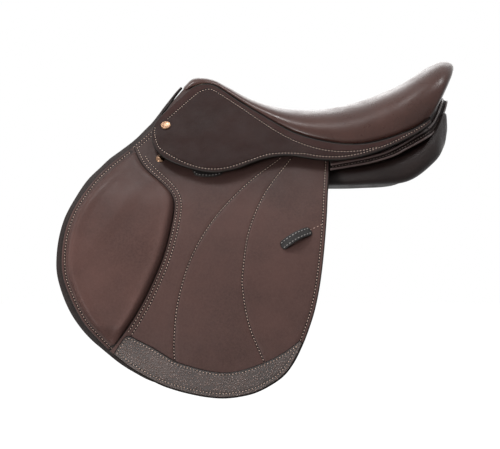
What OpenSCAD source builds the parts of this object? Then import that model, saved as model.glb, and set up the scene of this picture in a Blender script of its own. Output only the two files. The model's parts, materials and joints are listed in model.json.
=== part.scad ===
// Close-contact jumping saddle: spring tree, stirrup bars with hinged catches, padded seat,
// skirts and flaps that lift, sweat flaps, panels and girth straps.
// +X runs to the cantle, -Y is the near (left) side, +Z is up, millimetres.
// The origin lies on the centre line, under the deepest point of the seat, level with the panels' base.

/* [Seat] */
// Length of the seat from the pommel to the cantle
seat_l = 408; // [390:1:430]
// Height of the seat from its lowest seam to the top of the cantle
seat_h = 129; // [120:1:136]
// Height of the lowest seam above the panels' base
seat_rise = 63; // [60:1:66]
// Thickness of the seat leather
seat_leather_t = 2.2; // [1.6:0.1:2.6]
// Thickness of the seat foam at its fullest
foam_t = 26; // [20:1:28]
// Width of the foam's soft edge, outside the cantle board
foam_edge_w = 44; // [38:1:46]
// Radius of the welt sewn between seat and skirt
welt_r = 1.5; // [1:0.1:1.7]

/* [Barrel] */
// Radius of the outer face of the flaps, which wrap the horse's barrel
barrel_r = 597; // [590:1:604]
// Half width of the saddle at the foot of the flaps
barrel_half_w = 235; // [232:1:238]
// Depth of the flaps' foot below the origin
flap_drop = 300; // [296:1:304]
// Angle by which each side narrows towards the front
barrel_yaw = 4.5; // [4:0.1:5]

/* [Flap] */
// Length of a flap from front to rear
flap_l = 387; // [380:1:394]
// Height of a flap
flap_h = 388; // [382:1:394]
// Thickness of a flap
flap_t = 4; // [3:0.1:4.4]
// Height of the knee pad over the flap
knee_pad_t = 13; // [8:0.5:16]
// Thickness of the wear strip
wear_strip_t = 1.6; // [1:0.1:2.4]
// Width of the stirrup leather keeper
keeper_w = 14; // [10:0.5:18]
// Span of the stirrup leather keeper
keeper_l = 46; // [40:1:52]
// Rise of the stirrup leather keeper
keeper_rise = 9; // [8:0.5:11]

/* [Skirt] */
// Length of a skirt
skirt_l = 411; // [408:1:414]
// Height of a skirt
skirt_h = 131; // [129:1:133]
// Thickness of a skirt
skirt_t = 4; // [3:0.1:4.6]
// Room between flap and skirt, where the stirrup bar lies
bar_room = 10; // [9.6:0.1:11]
// Radius of the domed head of a skirt nail
nail_head_r = 6.5; // [5:0.1:8]

/* [Sweat flap and girth straps] */
// Length of a sweat flap
sweat_l = 374; // [370:1:378]
// Height of a sweat flap
sweat_h = 388; // [384:1:392]
// Thickness of a sweat flap
sweat_t = 3.5; // [2.6:0.1:4]
// Room between sweat flap and flap, where the girth straps lie
strap_room = 8; // [7.8:0.1:9]
// Width of a girth strap
strap_w = 26; // [22:1:30]
// Thickness of a girth strap
strap_t = 3.5; // [2.8:0.1:3.6]
// Length of a girth strap below its web, measured straight down
strap_l = 282; // [250:1:286]
// Number of holes in a girth strap
strap_holes = 9; // [5:1:10]
// Distance between girth strap holes, measured straight down
strap_hole_step = 23; // [20:0.5:24]
// Radius of a girth strap hole
strap_hole_r = 2.3; // [2:0.1:3]

/* [Tree and stirrup bars] */
// Thickness of the tree
tree_t = 8; // [6:0.1:8.4]
// Length of the free finger of a stirrup bar
bar_l = 58; // [52:1:62]
// Height of a stirrup bar
bar_h = 12; // [10:0.5:13]
// Thickness of a stirrup bar
bar_t = 7; // [6:0.1:7.2]
// Length of the hinged catch past its pin
catch_l = 21; // [16:1:24]
// Radius of the catch's pin
pin_r = 1.5; // [1.2:0.1:2]

/* [Panel] */
// Length of a panel
panel_l = 428; // [420:1:434]
// Radius of the rolls round the top of the panel
panel_roll_r = 3.2; // [2.4:0.1:3.6]
// Radius of the roll on the front of the pommel
pommel_roll_r = 4.5; // [3.6:0.1:4.8]

/* [Hidden] */
// Clearances and overruns
gap = 0.3;
split_gap = 1;
run_gap = 0.05;
overrun = 2;
reach = 2 * barrel_half_w;
wall_l = 4 * barrel_half_w;
$fn = 96;
fine = 32;
full_turn = 360;
half_turn = 180;

// Colours
brown = "#4b352b";
dark_brown = "#2e2420";
copper = "#c98f6b";
steel = "#b9bcc0";
beech = "#b88c58";
webbing_tan = "#cbbd9c";
foam_cream = "#ded4b4";
strap_brown = "#3a2a22";

// The barrel: each side's leather lies on round walls about one axis, level with the flaps' foot
barrel_axis_y = barrel_r - barrel_half_w;
barrel_axis_z = -flap_drop;
barrel_pivot_share = 0.088;
barrel_pivot_x = seat_l * barrel_pivot_share;

// Layers of one side, from the horse outwards
flap_r0 = barrel_r - flap_t;
tree_r1 = flap_r0 - strap_room;
tree_r0 = tree_r1 - tree_t;
sweat_r1 = tree_r1;
sweat_r0 = sweat_r1 - sweat_t;
skirt_r0 = barrel_r + bar_room;
skirt_r1 = skirt_r0 + skirt_t;
strap_lift = 1.15;
strap_r0 = sweat_r1 + strap_lift;
strap_r1 = strap_r0 + strap_t;
web_t = 1.8;
guard_t = 2;
guard_lift = 0.6;
guard_r0 = strap_r1 + guard_lift;
spring_t = 1.2;

// Where the pieces' boxes start, as shares of the sizes that they follow
seat_front_share = 0.431;
seat_x0 = -seat_l * seat_front_share;
skirt_front_share = 0.542;
skirt_x0 = -seat_l * skirt_front_share;
skirt_foot_share = 0.325;
skirt_z0 = seat_rise * skirt_foot_share;
flap_front_share = 0.85;
flap_x0 = -seat_l * flap_front_share;
flap_z0 = -flap_drop;
sweat_x0 = flap_x0 - 2 * sweat_t;
sweat_foot = 16;
sweat_z0 = sweat_foot - flap_drop;

// Smooth curves through points
function before(p) = 2 * p[0] - p[1];
function after(p) = 2 * p[len(p) - 1] - p[len(p) - 2];
function padded(p) = concat([before(p)], p, [after(p)]);
function span(a, b, c, d, t) =
    (2 * b + (c - a) * t + (2 * a - 5 * b + 4 * c - d) * t * t + (3 * b - a - 3 * c + d) * t * t * t) / 2;
function at_span(p, i, t) = span(p[i], p[i + 1], p[i + 2], p[i + 3], t);
function on_curve(p, v) =
    let (last = len(p) - 2, i = min(floor(v * (last + 1)), last))
    at_span(padded(p), i, v * (last + 1) - i);
function curve(p, n) = [for (k = [0:n]) on_curve(p, k / n)];
function placed(shares, x0, z0, l, h) = [for (s = shares) [x0 + s[0] * l, z0 + s[1] * h]];
function shifted(p, by) = [for (q = p) q + by];
function reversed(p) = [for (i = [len(p) - 1:-1:0]) p[i]];

// Half width of the wall of radius r at a place in the side view
function wall_local_y(z, r) = barrel_axis_y - sqrt(r * r - pow(z - barrel_axis_z, 2));
function wall_local_x(x, z, r) =
    (x - barrel_pivot_x - wall_local_y(z, r) * sin(barrel_yaw)) / cos(barrel_yaw);
function wall_y(x, z, r) =
    wall_local_y(z, r) * cos(barrel_yaw) - wall_local_x(x, z, r) * sin(barrel_yaw);
function on_wall(p, r) = [p[0], wall_y(p[0], p[1], r), p[1]];

// A closed solid between two grids of points
module slab(upper, lower) {
    rows = len(upper);
    cols = len(upper[0]);
    count = rows * cols;
    points = concat([for (r = upper) each r], [for (r = lower) each r]);
    skin = [for (i = [0:rows - 2], j = [0:cols - 2])
        let (a = i * cols + j, b = a + 1, c = a + cols, d = c + 1)
        each [[a, c, d], [a, d, b], [a + count, d + count, c + count], [a + count, b + count, d + count]]];
    row_ends = [for (j = [0:cols - 2])
        let (a = j, b = (rows - 1) * cols + j)
        each [[a, a + 1, a + 1 + count], [a, a + 1 + count, a + count],
              [b, b + 1 + count, b + 1], [b, b + count, b + 1 + count]]];
    col_ends = [for (i = [0:rows - 2])
        let (a = i * cols, b = a + cols - 1)
        each [[a, a + cols + count, a + cols], [a, a + count, a + cols + count],
              [b, b + cols, b + cols + count], [b, b + cols + count, b + count]]];
    polyhedron(points, concat(skin, row_ends, col_ends));
}

// A closed solid through rings of points, with its ends closed from their middles
function middle(ring) = [for (k = [0:2]) [for (p = ring) p[k]] * [for (p = ring) 1] / len(ring)];
module loft(rings) {
    n = len(rings);
    m = len(rings[0]);
    points = concat([for (r = rings) each r], [middle(rings[0]), middle(rings[n - 1])]);
    walls = [for (i = [0:n - 2], j = [0:m - 1])
        let (a = i * m + j, b = i * m + (j + 1) % m, c = a + m, d = b + m)
        each [[a, c, d], [a, d, b]]];
    ends = [for (j = [0:m - 1])
        each [[n * m, j, (j + 1) % m], [n * m + 1, (n - 1) * m + (j + 1) % m, (n - 1) * m + j]]];
    polyhedron(points, concat(walls, ends));
}

// A round cord along a path of points
tube_sides = 8;
function unit(v) = v / norm(v);
function tangent(p, i) = unit(p[min(i + 1, len(p) - 1)] - p[max(i - 1, 0)]);
function cord_ring(p, i, r) =
    let (t = tangent(p, i), s = unit(cross(t, [0, 0, 1])), u = cross(s, t))
    [for (k = [0:tube_sides - 1])
        let (a = full_turn * k / tube_sides) p[i] + r * (cos(a) * s + sin(a) * u)];
module cord(path, r) loft([for (i = [0:len(path) - 1]) cord_ring(path, i, r)]);

// One side's round wall, and a piece of it cut to an outline drawn in the side view
module wall(r0, r1)
    translate([barrel_pivot_x, 0, 0]) rotate([0, 0, -barrel_yaw]) translate([0, barrel_axis_y, barrel_axis_z])
        rotate([0, 90, 0]) linear_extrude(wall_l, center = true) difference() {
            circle(r1);
            circle(r0);
        }
module side_cut(outline) rotate([90, 0, 0]) linear_extrude(reach) polygon(outline);
module layer(r0, r1, outline) intersection() {
    wall(r0, r1);
    side_cut(outline);
}

// A place on a wall: children stand on it, with +X to the rear, +Y up the slope and +Z outwards
module on_barrel(x, z, r)
    translate([barrel_pivot_x, 0, 0]) rotate([0, 0, -barrel_yaw])
        translate([wall_local_x(x, z, r), barrel_axis_y, barrel_axis_z])
            rotate([90 - asin((z - barrel_axis_z) / r), 0, 0]) translate([0, 0, r]) children();

// The near side is drawn; the off side is its mirror image
module off_side() mirror([0, 1, 0]) children();

module dome(r, h) {
    ball_r = (r * r + h * h) / (2 * h);
    rotate_extrude() intersection() {
        translate([0, h - ball_r]) circle(ball_r);
        square([r, h]);
    }
}
module rounded_bar(l, w, t) linear_extrude(t) union() {
    translate([0, -w / 2]) square([l - w / 2, w]);
    translate([l - w / 2, 0]) circle(w / 2);
}

// Seat: a centre profile and a seam, joined by rounded cross curves
crown_shares = [[0, 0.7], [0.032, 0.79], [0.074, 0.802], [0.162, 0.682], [0.262, 0.519], [0.382, 0.442],
    [0.515, 0.44], [0.65, 0.527], [0.784, 0.71], [0.875, 0.884], [0.934, 0.977], [0.975, 0.995],
    [0.998, 0.93], [0.985, 0.79], [0.945, 0.504]];
seam_shares = [[0.01, 0.643], [0.039, 0.69], [0.081, 0.729], [0.162, 0.643], [0.262, 0.43], [0.4, 0.163],
    [0.525, 0.023], [0.637, 0.004], [0.743, 0.081], [0.811, 0.17], [0.853, 0.24], [0.875, 0.275],
    [0.89, 0.302], [0.897, 0.318], [0.902, 0.333]];
foam_shares = [0.42, 0.42, 0.44, 0.48, 0.58, 0.75, 0.9, 1, 1, 0.9, 0.72, 0.5, 0.36, 0.3, 0.3];
crown = placed(crown_shares, seat_x0, seat_rise, seat_l, seat_h);
seam = placed(seam_shares, seat_x0, seat_rise, seat_l, seat_h);
seam_r = skirt_r1 - welt_r;
cross_power_share = 0.84;
seat_rows = 28;
seat_cols = 20;
slope_step_share = 0.004;

function crown_out(v) =
    let (a = on_curve(crown, max(v - slope_step_share, 0)), b = on_curve(crown, min(v + slope_step_share, 1)),
         d = unit(b - a))
    [-d[1], d[0]];
function seat_point(v, u, depth, edge) =
    let (c = on_curve(crown, v) - depth * crown_out(v), e = on_curve(seam, v),
         w = -wall_y(e[0], e[1], seam_r), half = max(w - edge, w * (1 - cross_power_share)),
         a = pow(cos(90 * abs(u)), cross_power_share), b = sign(u) * pow(sin(90 * abs(u)), cross_power_share))
    [e[0] + (c[0] - e[0]) * a, half * b, e[1] + (c[1] - e[1]) * a];
function across(j) = 2 * j / seat_cols - 1;
function foam_depth(v) = seat_leather_t + gap + foam_t * on_curve([for (s = foam_shares) [s, 0]], v)[0];

// All layers of the seat share one grid of rows and columns, so that they nest
all_cols = [0, seat_cols];
function rows_at(first, last) = [for (i = [first:last]) i / seat_rows];
function seat_grid(rows, cols, depth, edge) =
    [for (v = rows) [for (j = [cols[0]:cols[1]]) seat_point(v, across(j), depth, edge)]];
function under_foam(rows, cols, extra) = [for (v = rows) [for (j = [cols[0]:cols[1]])
    seat_point(v, across(j), foam_depth(v) + extra, foam_edge_w + extra)]];

module seat_cover() color(brown) {
    rows = rows_at(0, seat_rows);
    slab(seat_grid(rows, all_cols, 0, 0), seat_grid(rows, all_cols, seat_leather_t, seat_leather_t));
}
module seat_foam() color(foam_cream) {
    rows = rows_at(0, seat_rows);
    skin = seat_leather_t + gap;
    slab(seat_grid(rows, all_cols, skin, skin), under_foam(rows, all_cols, 0));
}

// Web that spans the tree from head to cantle under the foam
web_first = 4;
cantle_first = 15;
cantle_last = 19;
web_cols = [7, 13];
web_end_share = cantle_first / seat_rows - slope_step_share;
function web_row_shares() = concat(rows_at(web_first, cantle_first - 1), [web_end_share]);
function lowered(grid, drop) = [for (row = grid) shifted(row, [0, 0, -drop])];
module seat_web() color(webbing_tan) {
    top = lowered(under_foam(web_row_shares(), web_cols, 0), gap);
    slab(top, lowered(top, web_t));
}

welt_rows = 36;
welt_drop = welt_r + 2 * gap;
welt_start_share = 0.125;
module seat_welt() color(dark_brown)
    cord([for (i = [0:welt_rows])
        let (v = welt_start_share + (1 - welt_start_share) * i / welt_rows, e = on_curve(seam, v))
        on_wall(e - [0, welt_drop], seam_r)], welt_r);

// Tree: one round wall a side, cut to the side view of head, point and side bar, and the cantle arch
tree_foot_shares = [[0.868, 0.12], [0.743, -0.08], [0.637, -0.15], [0.525, -0.13], [0.4, -0.085],
    [0.285, -0.04], [0.174, -0.06], [0.064, -0.12], [-0.01, -0.24], [-0.07, -0.33], [-0.115, -0.29],
    [-0.12, -0.18], [-0.094, 0.09], [-0.054, 0.4], [0, 0.56]];
tree_top_shares = [[0.08, 0.655], [0.118, 0.55], [0.162, 0.49], [0.215, 0.47], [0.262, 0.41], [0.4, 0.15],
    [0.525, 0.01], [0.637, -0.01], [0.743, 0.065], [0.82, 0.165], [0.868, 0.22]];
function tree_outline() = concat(
    curve(placed(tree_top_shares, seat_x0, seat_rise, seat_l, seat_h), 24),
    curve(placed(tree_foot_shares, seat_x0, seat_rise, seat_l, seat_h), 36));

// Bridge that joins the two walls under the pommel
bridge_low_shares = [0.035, 0.5];
bridge_high_shares = [0.075, 0.56];
module head_bridge() {
    low = placed([bridge_low_shares], seat_x0, seat_rise, seat_l, seat_h)[0];
    high = placed([bridge_high_shares], seat_x0, seat_rise, seat_l, seat_h)[0];
    half = -wall_y(low[0], high[1], (tree_r0 + tree_r1) / 2);
    translate([low[0], -half, low[1]]) cube([high[0] - low[0], 2 * half, high[1] - low[1]]);
}
module tree_side() difference() {
    layer(tree_r0, tree_r1, tree_outline());
    rivet_places() cylinder(h = 4 * tree_t, r = rivet_r + run_gap, center = true, $fn = fine);
}
module tree() color(beech) union() {
    tree_side();
    off_side() tree_side();
    head_bridge();
}
module cantle_board() color(beech) {
    rows = rows_at(cantle_first, cantle_last);
    slab(under_foam(rows, all_cols, gap), under_foam(rows, all_cols, gap + tree_t));
}

// Steel head plate over the arch of the tree, and the springs inside its side bars
plate_t = 2.5;
plate_shares = [[0.06, 0.63], [0.05, 0.4], [0.035, 0.27], [-0.055, 0.27], [-0.04, 0.42], [-0.005, 0.54]];
module head_plate_side() layer(tree_r1 + gap, tree_r1 + gap + plate_t,
    placed(plate_shares, seat_x0, seat_rise, seat_l, seat_h));
module head_plate() color(steel) union() {
    head_plate_side();
    off_side() head_plate_side();
}
spring_top_shares = [[0.2, 0.31], [0.3, 0.22], [0.4, 0.09], [0.525, -0.02], [0.637, -0.045], [0.743, 0.02],
    [0.82, 0.11]];
spring_w = 11;
module spring() color(steel) {
    top = curve(placed(spring_top_shares, seat_x0, seat_rise, seat_l, seat_h), 18);
    layer(tree_r0 - gap - spring_t, tree_r0 - gap, concat(top, reversed(shifted(top, [0, -spring_w]))));
}

// Stirrup bar: a plate riveted to the tree, a neck and an open finger with a hinged catch
bar_x_share = 0.343;
bar_z_share = 0.136;
bar_x = -seat_l * bar_x_share;
bar_z = seat_rise + seat_h * bar_z_share;
bar_plate_l = 52;
bar_plate_w = 28;
bar_plate_t = 3;
bar_neck_l = 11;
bar_stand = barrel_r - tree_r1 + gap;
rivet_r = 2.4;
rivet_head_r = 4.4;
rivet_head_h = 2;
rivet_step = 34;
rivet_drop = 9;
catch_lap = bar_t / 2;
catch_x = bar_l - bar_plate_l / 2 - bar_h / 2;
module bar_place() on_barrel(bar_x, bar_z, tree_r1 + gap) children();
module rivet_places() bar_place() for (s = [-1, 1])
    translate([s * rivet_step / 2, -rivet_drop, 0]) children();
module catch_place() bar_place() translate([catch_x, 0, bar_stand]) children();
module stirrup_bar() color(steel) difference() {
    union() {
        bar_place() translate([-bar_plate_l / 2 - overrun, -bar_plate_w / 2, 0])
            cube([bar_plate_l + overrun, bar_plate_w, bar_plate_t]);
        bar_place() translate([-bar_plate_l / 2 - bar_neck_l, -bar_h / 2, 0])
            cube([bar_neck_l, bar_h, bar_stand + bar_t]);
        bar_place() translate([-bar_plate_l / 2 - bar_neck_l, -bar_h / 2, bar_stand])
            cube([catch_x + bar_plate_l / 2 + bar_neck_l - bar_h / 2 - gap, bar_h, bar_t]);
        catch_place() translate([-bar_h / 2 - gap - overrun, 0, 0])
            rounded_bar(bar_h + gap + overrun, bar_h, catch_lap - gap);
    }
    rivet_places() cylinder(h = 4 * bar_plate_t, r = rivet_r + run_gap, center = true, $fn = fine);
    catch_place() cylinder(h = 4 * bar_t, r = pin_r + run_gap, center = true, $fn = fine);
}
module bar_catch() color(steel) difference() {
    union() {
        catch_place() translate([0, 0, catch_lap]) cylinder(h = bar_t - catch_lap, r = bar_h / 2);
        catch_place() translate([0, 0, catch_lap]) rounded_bar(catch_l, bar_h, bar_t - catch_lap);
        catch_place() translate([bar_h / 2 + gap, 0, 0]) rounded_bar(catch_l - bar_h / 2 - gap, bar_h, bar_t);
    }
    catch_place() cylinder(h = 4 * bar_t, r = pin_r + run_gap, center = true, $fn = fine);
}
module catch_pin() color(steel) catch_place() cylinder(h = bar_t, r = pin_r, $fn = fine);
module bar_rivets_side() rivet_places() {
    translate([0, 0, -gap - tree_t]) cylinder(h = tree_t + gap + bar_plate_t + gap, r = rivet_r, $fn = fine);
    translate([0, 0, bar_plate_t + gap]) dome(rivet_head_r, rivet_head_h);
}
module bar_rivets() color(steel) {
    bar_rivets_side();
    off_side() bar_rivets_side();
}

// Skirt: sewn under the seat's welt; below the bend line its lobe lifts off the stirrup bar
skirt_shares = [[0.148, 0.996], [0.075, 0.752], [0.017, 0.576], [0, 0.431], [0.017, 0.271], [0.068, 0.134],
    [0.158, 0.034], [0.236, 0], [0.311, 0.05], [0.389, 0.141], [0.465, 0.191], [0.545, 0.172], [0.647, 0.137],
    [0.757, 0.172], [0.842, 0.248], [0.932, 0.393], [1, 0.584]];
skirt_top_drop = welt_drop + welt_r + 5 * gap;
skirt_top_steps = 36;
function skirt_outline() = concat(
    [for (i = [0:skirt_top_steps])
        let (v = welt_start_share + (1 - welt_start_share) * i / skirt_top_steps)
        on_curve(seam, v) - [0, skirt_top_drop]],
    reversed(curve(placed(skirt_shares, skirt_x0, skirt_z0, skirt_l, skirt_h), 64)));

// Bend lines in the side view, from front to rear: the skirt's lobe, and the flap just below it
skirt_bend_shares = [[0.318, 0.985], [0.992, 0.853]];
flap_bend_shares = [[0.219, 0.886], [0.989, 0.717]];
skirt_bend = placed(skirt_bend_shares, flap_x0, flap_z0, flap_l, flap_h);
flap_bend = placed(flap_bend_shares, flap_x0, flap_z0, flap_l, flap_h);
function below(bend, drop) =
    let (along = unit(bend[1] - bend[0]), down = [along[1], -along[0]])
    [bend[0] - reach * along + drop * down, bend[1] + reach * along + drop * down,
     bend[1] + reach * along + reach * down, bend[0] - reach * along + reach * down];

// Skirt nails reach through skirt and flap to the tree
nail_x_share = 0.49;
nail_z_share = 0.222;
nail_x = -seat_l * nail_x_share;
nail_z = seat_rise + seat_h * nail_z_share;
nail_r = 2;
nail_head_h = 3;
module nail_place(r) on_barrel(nail_x, nail_z, skirt_r1) translate([0, 0, r - skirt_r1]) children();
module nail_hole() nail_place(tree_r1) cylinder(h = 4 * bar_room, r = nail_r + run_gap, $fn = fine);

module skirt() color(brown) difference() {
    layer(skirt_r0, skirt_r1, skirt_outline());
    side_cut(below(skirt_bend, 0));
    nail_hole();
}
module skirt_lobe() color(brown) intersection() {
    layer(skirt_r0, skirt_r1, skirt_outline());
    side_cut(below(skirt_bend, split_gap));
}
module skirt_nail() {
    nail_place(skirt_r1 + gap) dome(nail_head_r, nail_head_h);
    nail_place(tree_r1 + gap) cylinder(h = skirt_r1 - tree_r1, r = nail_r, $fn = fine);
}
module skirt_nails() color(copper) {
    skirt_nail();
    off_side() skirt_nail();
}

// Flap: its head is fixed under the skirt, and the rest hangs from its bend line
flap_edge_shares = [[0.323, 1], [0.183, 0.874], [0.078, 0.755], [0.013, 0.62], [0, 0.5], [0.028, 0.381],
    [0.11, 0.245], [0.274, 0.1], [0.45, 0.025], [0.605, 0], [0.745, 0.033], [0.845, 0.115], [0.905, 0.225],
    [0.95, 0.4], [0.98, 0.63], [1, 0.863]];
flap_head_shares = [[1, 0.905], [0.863, 0.955], [0.74, 1.015], [0.64, 1.055], [0.51, 1.075], [0.39, 1.075]];
flap_steps = 72;
head_steps = 20;
function flap_outline() = concat(
    curve(placed(flap_edge_shares, flap_x0, flap_z0, flap_l, flap_h), flap_steps),
    curve(placed(flap_head_shares, flap_x0, flap_z0, flap_l, flap_h), head_steps));
bar_window_l = 92;
bar_window_w = 34;
bar_window_shift = -4;
module flap_head() color(brown) difference() {
    layer(flap_r0, barrel_r, flap_outline());
    side_cut(below(flap_bend, 0));
    nail_hole();
    stud_hole();
    bar_place() translate([bar_window_shift - bar_window_l / 2, -bar_window_w / 2, 0])
        cube([bar_window_l, bar_window_w, bar_window_w]);
}
stud_x_share = 0.512;
stud_z_share = -0.167;
stud_x = -seat_l * stud_x_share;
stud_z = seat_rise + seat_h * stud_z_share;
stud_r = 2;
stud_head_r = 5.5;
stud_head_h = 2.6;
module stud_place(r) on_barrel(stud_x, stud_z, barrel_r) translate([0, 0, r - barrel_r]) children();
module stud_hole() stud_place(flap_r0 - overrun)
    cylinder(h = flap_t + 2 * overrun, r = stud_r + run_gap, $fn = fine);
module flap() color(brown) intersection() {
    layer(flap_r0, barrel_r, flap_outline());
    side_cut(below(flap_bend, split_gap));
}
module flap_stud() color(copper) {
    stud_place(barrel_r + gap) dome(stud_head_r, stud_head_h);
    stud_place(flap_r0) cylinder(h = flap_t + gap, r = stud_r, $fn = fine);
}

// Knee pad: a soft pad on the front of the flap, full at the front and steep at its seam
pad_front_shares = [[0.236, 0.872], [0.163, 0.815], [0.075, 0.696], [0.041, 0.541], [0.065, 0.387],
    [0.127, 0.276], [0.199, 0.196]];
pad_rear_shares = [[0.264, 0.866], [0.33, 0.82], [0.398, 0.747], [0.406, 0.644], [0.362, 0.503],
    [0.295, 0.366], [0.209, 0.201]];
pad_rows = 18;
pad_cols = 10;
pad_skin = 1;
pad_crown_share = 0.45;
function pad_place(i, j) =
    let (v = i / pad_rows, t = j / pad_cols,
         a = on_curve(placed(pad_front_shares, flap_x0, flap_z0, flap_l, flap_h), v),
         b = on_curve(placed(pad_rear_shares, flap_x0, flap_z0, flap_l, flap_h), v))
    a + (b - a) * t;
function swell(t) = pow(sin(half_turn * t), pad_crown_share);
function pad_rise(i, j) = pad_skin + knee_pad_t * swell(i / pad_rows) * swell(j / pad_cols);
function pad_grid(base) = [for (i = [0:pad_rows]) [for (j = [0:pad_cols])
    on_wall(pad_place(i, j), barrel_r + gap + (base ? 0 : pad_rise(i, j)))]];
module knee_pad() color(brown) slab(pad_grid(true), pad_grid(false));

// Wear strip of grained leather along the flap's foot
strip_top_shares = [[0.25, 0.22], [0.341, 0.178], [0.429, 0.127], [0.545, 0.098], [0.605, 0.09],
    [0.664, 0.097], [0.778, 0.137], [0.878, 0.204]];
strip_foot_shares = [[0.885, 0.19], [0.838, 0.12], [0.742, 0.039], [0.605, 0.006], [0.453, 0.031],
    [0.28, 0.106], [0.19, 0.178]];
module wear_strip() color(dark_brown) layer(barrel_r + gap, barrel_r + gap + wear_strip_t, concat(
    curve(placed(strip_top_shares, flap_x0, flap_z0, flap_l, flap_h), 28),
    curve(placed(strip_foot_shares, flap_x0, flap_z0, flap_l, flap_h), 32)));

// Keeper: a short arched strap that holds the end of the stirrup leather
keeper_x_share = 0.872;
keeper_z_share = 0.575;
keeper_turn = 33;
keeper_t = 3;
module keeper_arch() {
    arch_r = (keeper_l * keeper_l / 4 + keeper_rise * keeper_rise) / (2 * keeper_rise);
    intersection() {
        difference() {
            translate([0, keeper_rise - arch_r]) circle(arch_r);
            translate([0, keeper_rise - arch_r]) circle(arch_r - keeper_t);
        }
        translate([-keeper_l, 0]) square([2 * keeper_l, 2 * keeper_rise]);
    }
}
module leather_keeper() color(dark_brown)
    on_barrel(flap_x0 + keeper_x_share * flap_l, flap_z0 + keeper_z_share * flap_h, barrel_r + gap)
        rotate([0, 0, keeper_turn]) translate([0, keeper_w / 2, gap]) rotate([90, 0, 0])
            linear_extrude(keeper_w) keeper_arch();

// Bar guard: a patch that keeps the stirrup leather's buckle off the flap
guard_shares = [[0.483, 0.885], [0.487, 0.825], [0.5, 0.812], [0.535, 0.808], [0.58, 0.812], [0.6, 0.828],
    [0.603, 0.885]];
bar_guard_t = 2.4;
module bar_guard() color(dark_brown) difference() {
    layer(barrel_r + gap, barrel_r + gap + bar_guard_t,
        placed(guard_shares, flap_x0, flap_z0, flap_l, flap_h));
    side_cut(below(flap_bend, -split_gap));
}

// Sweat flap: sewn to the panel under the tree, it keeps the girth straps off the horse
sweat_edge_shares = [[0.387, 1.012], [0.334, 0.957], [0.268, 0.9], [0.16, 0.808], [0.06, 0.684],
    [0.008, 0.543], [0.004, 0.435], [0.042, 0.307], [0.12, 0.196], [0.213, 0.113], [0.325, 0.057],
    [0.471, 0.018], [0.644, 0], [0.79, 0.031], [0.882, 0.134],
    [0.94, 0.32], [0.972, 0.526], [0.988, 0.706], [0.992, 0.83]];
sweat_top_shares = [[0.9, 0.848], [0.78, 0.862], [0.655, 0.86], [0.54, 0.838], [0.475, 0.79], [0.405, 0.77],
    [0.345, 0.775], [0.332, 0.82], [0.342, 0.875], [0.366, 0.938], [0.396, 0.996]];
module sweat_flap() color(dark_brown) layer(sweat_r0, sweat_r1, concat(
    curve(placed(sweat_edge_shares, sweat_x0, sweat_z0, sweat_l, sweat_h), 72),
    curve(placed(sweat_top_shares, sweat_x0, sweat_z0, sweat_l, sweat_h), 28)));

// Point pocket: a leather cap over the tree's point
pocket_shares = [[-0.02, -0.2], [-0.06, -0.34], [-0.1, -0.33], [-0.125, -0.2], [-0.105, 0], [-0.03, -0.02]];
pocket_t = 2;
module point_pocket() color(dark_brown) layer(tree_r1 + gap, tree_r1 + gap + pocket_t,
    curve(placed(pocket_shares, seat_x0, seat_rise, seat_l, seat_h), 24));

// Girth web over the side bar, and the straps and buckle guard that hang from it
web_foot = 60;
web_front_share = 0.338;
web_rear_share = 0.1;
web_rise = 34;
web_slope = 12;
web_lap = 9;
web_clear = 2;
module girth_web() color(webbing_tan) {
    front = -seat_l * web_front_share;
    rear = -seat_l * web_rear_share;
    bar_rear = bar_x + bar_plate_l / 2 + web_clear;
    layer(tree_r1 + gap, tree_r1 + gap + web_t, [
        [front, web_foot], [rear, web_foot], [rear, web_foot + web_rise],
        [bar_rear, web_foot + web_rise + web_slope],
        [bar_rear, web_foot + web_lap], [front, web_foot + web_lap]]);
}
strap_front_share = 0.289;
strap_rear_share = 0.152;
strap_front_x = -seat_l * strap_front_share;
strap_rear_x = -seat_l * strap_rear_share;
strap_top = web_foot - split_gap;
strap_shoulder = 6;
strap_tip = 16;
strap_first_hole = 26;
function strap_x(x, z) =
    x + (wall_local_y(z, strap_r0) - wall_local_y(strap_top, strap_r0)) * sin(barrel_yaw);
function strap_outline(x) =
    let (w = strap_w / 2, foot = strap_top - strap_l, end_x = strap_x(x, foot),
         shoulder = strap_top - strap_shoulder)
    [[x - w, shoulder], [end_x - w, foot + strap_tip], [end_x - w / 2, foot], [end_x + w / 2, foot],
     [end_x + w, foot + strap_tip], [x + w, shoulder], [x + w / 2, strap_top], [x - w / 2, strap_top]];
module girth_strap(x) color(strap_brown) difference() {
    layer(strap_r0, strap_r1, strap_outline(x));
    for (k = [0:strap_holes - 1])
        let (z = strap_top - strap_l + strap_first_hole + k * strap_hole_step)
            on_barrel(strap_x(x, z), z, strap_r0) translate([0, 0, -overrun])
                cylinder(h = strap_t + 2 * overrun, r = strap_hole_r, $fn = fine);
}
guard_foot = -58;
guard_corner = 14;
guard_front_share = 0.345;
guard_rear_share = 0.093;
module buckle_guard() color(strap_brown) {
    front = -seat_l * guard_front_share;
    rear = -seat_l * guard_rear_share;
    layer(guard_r0, guard_r0 + guard_t, [
        [front, strap_top - guard_corner], [front, guard_foot + guard_corner],
        [front + guard_corner, guard_foot], [rear - guard_corner, guard_foot],
        [rear, guard_foot + guard_corner], [rear, strap_top - guard_corner]]);
}

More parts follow.
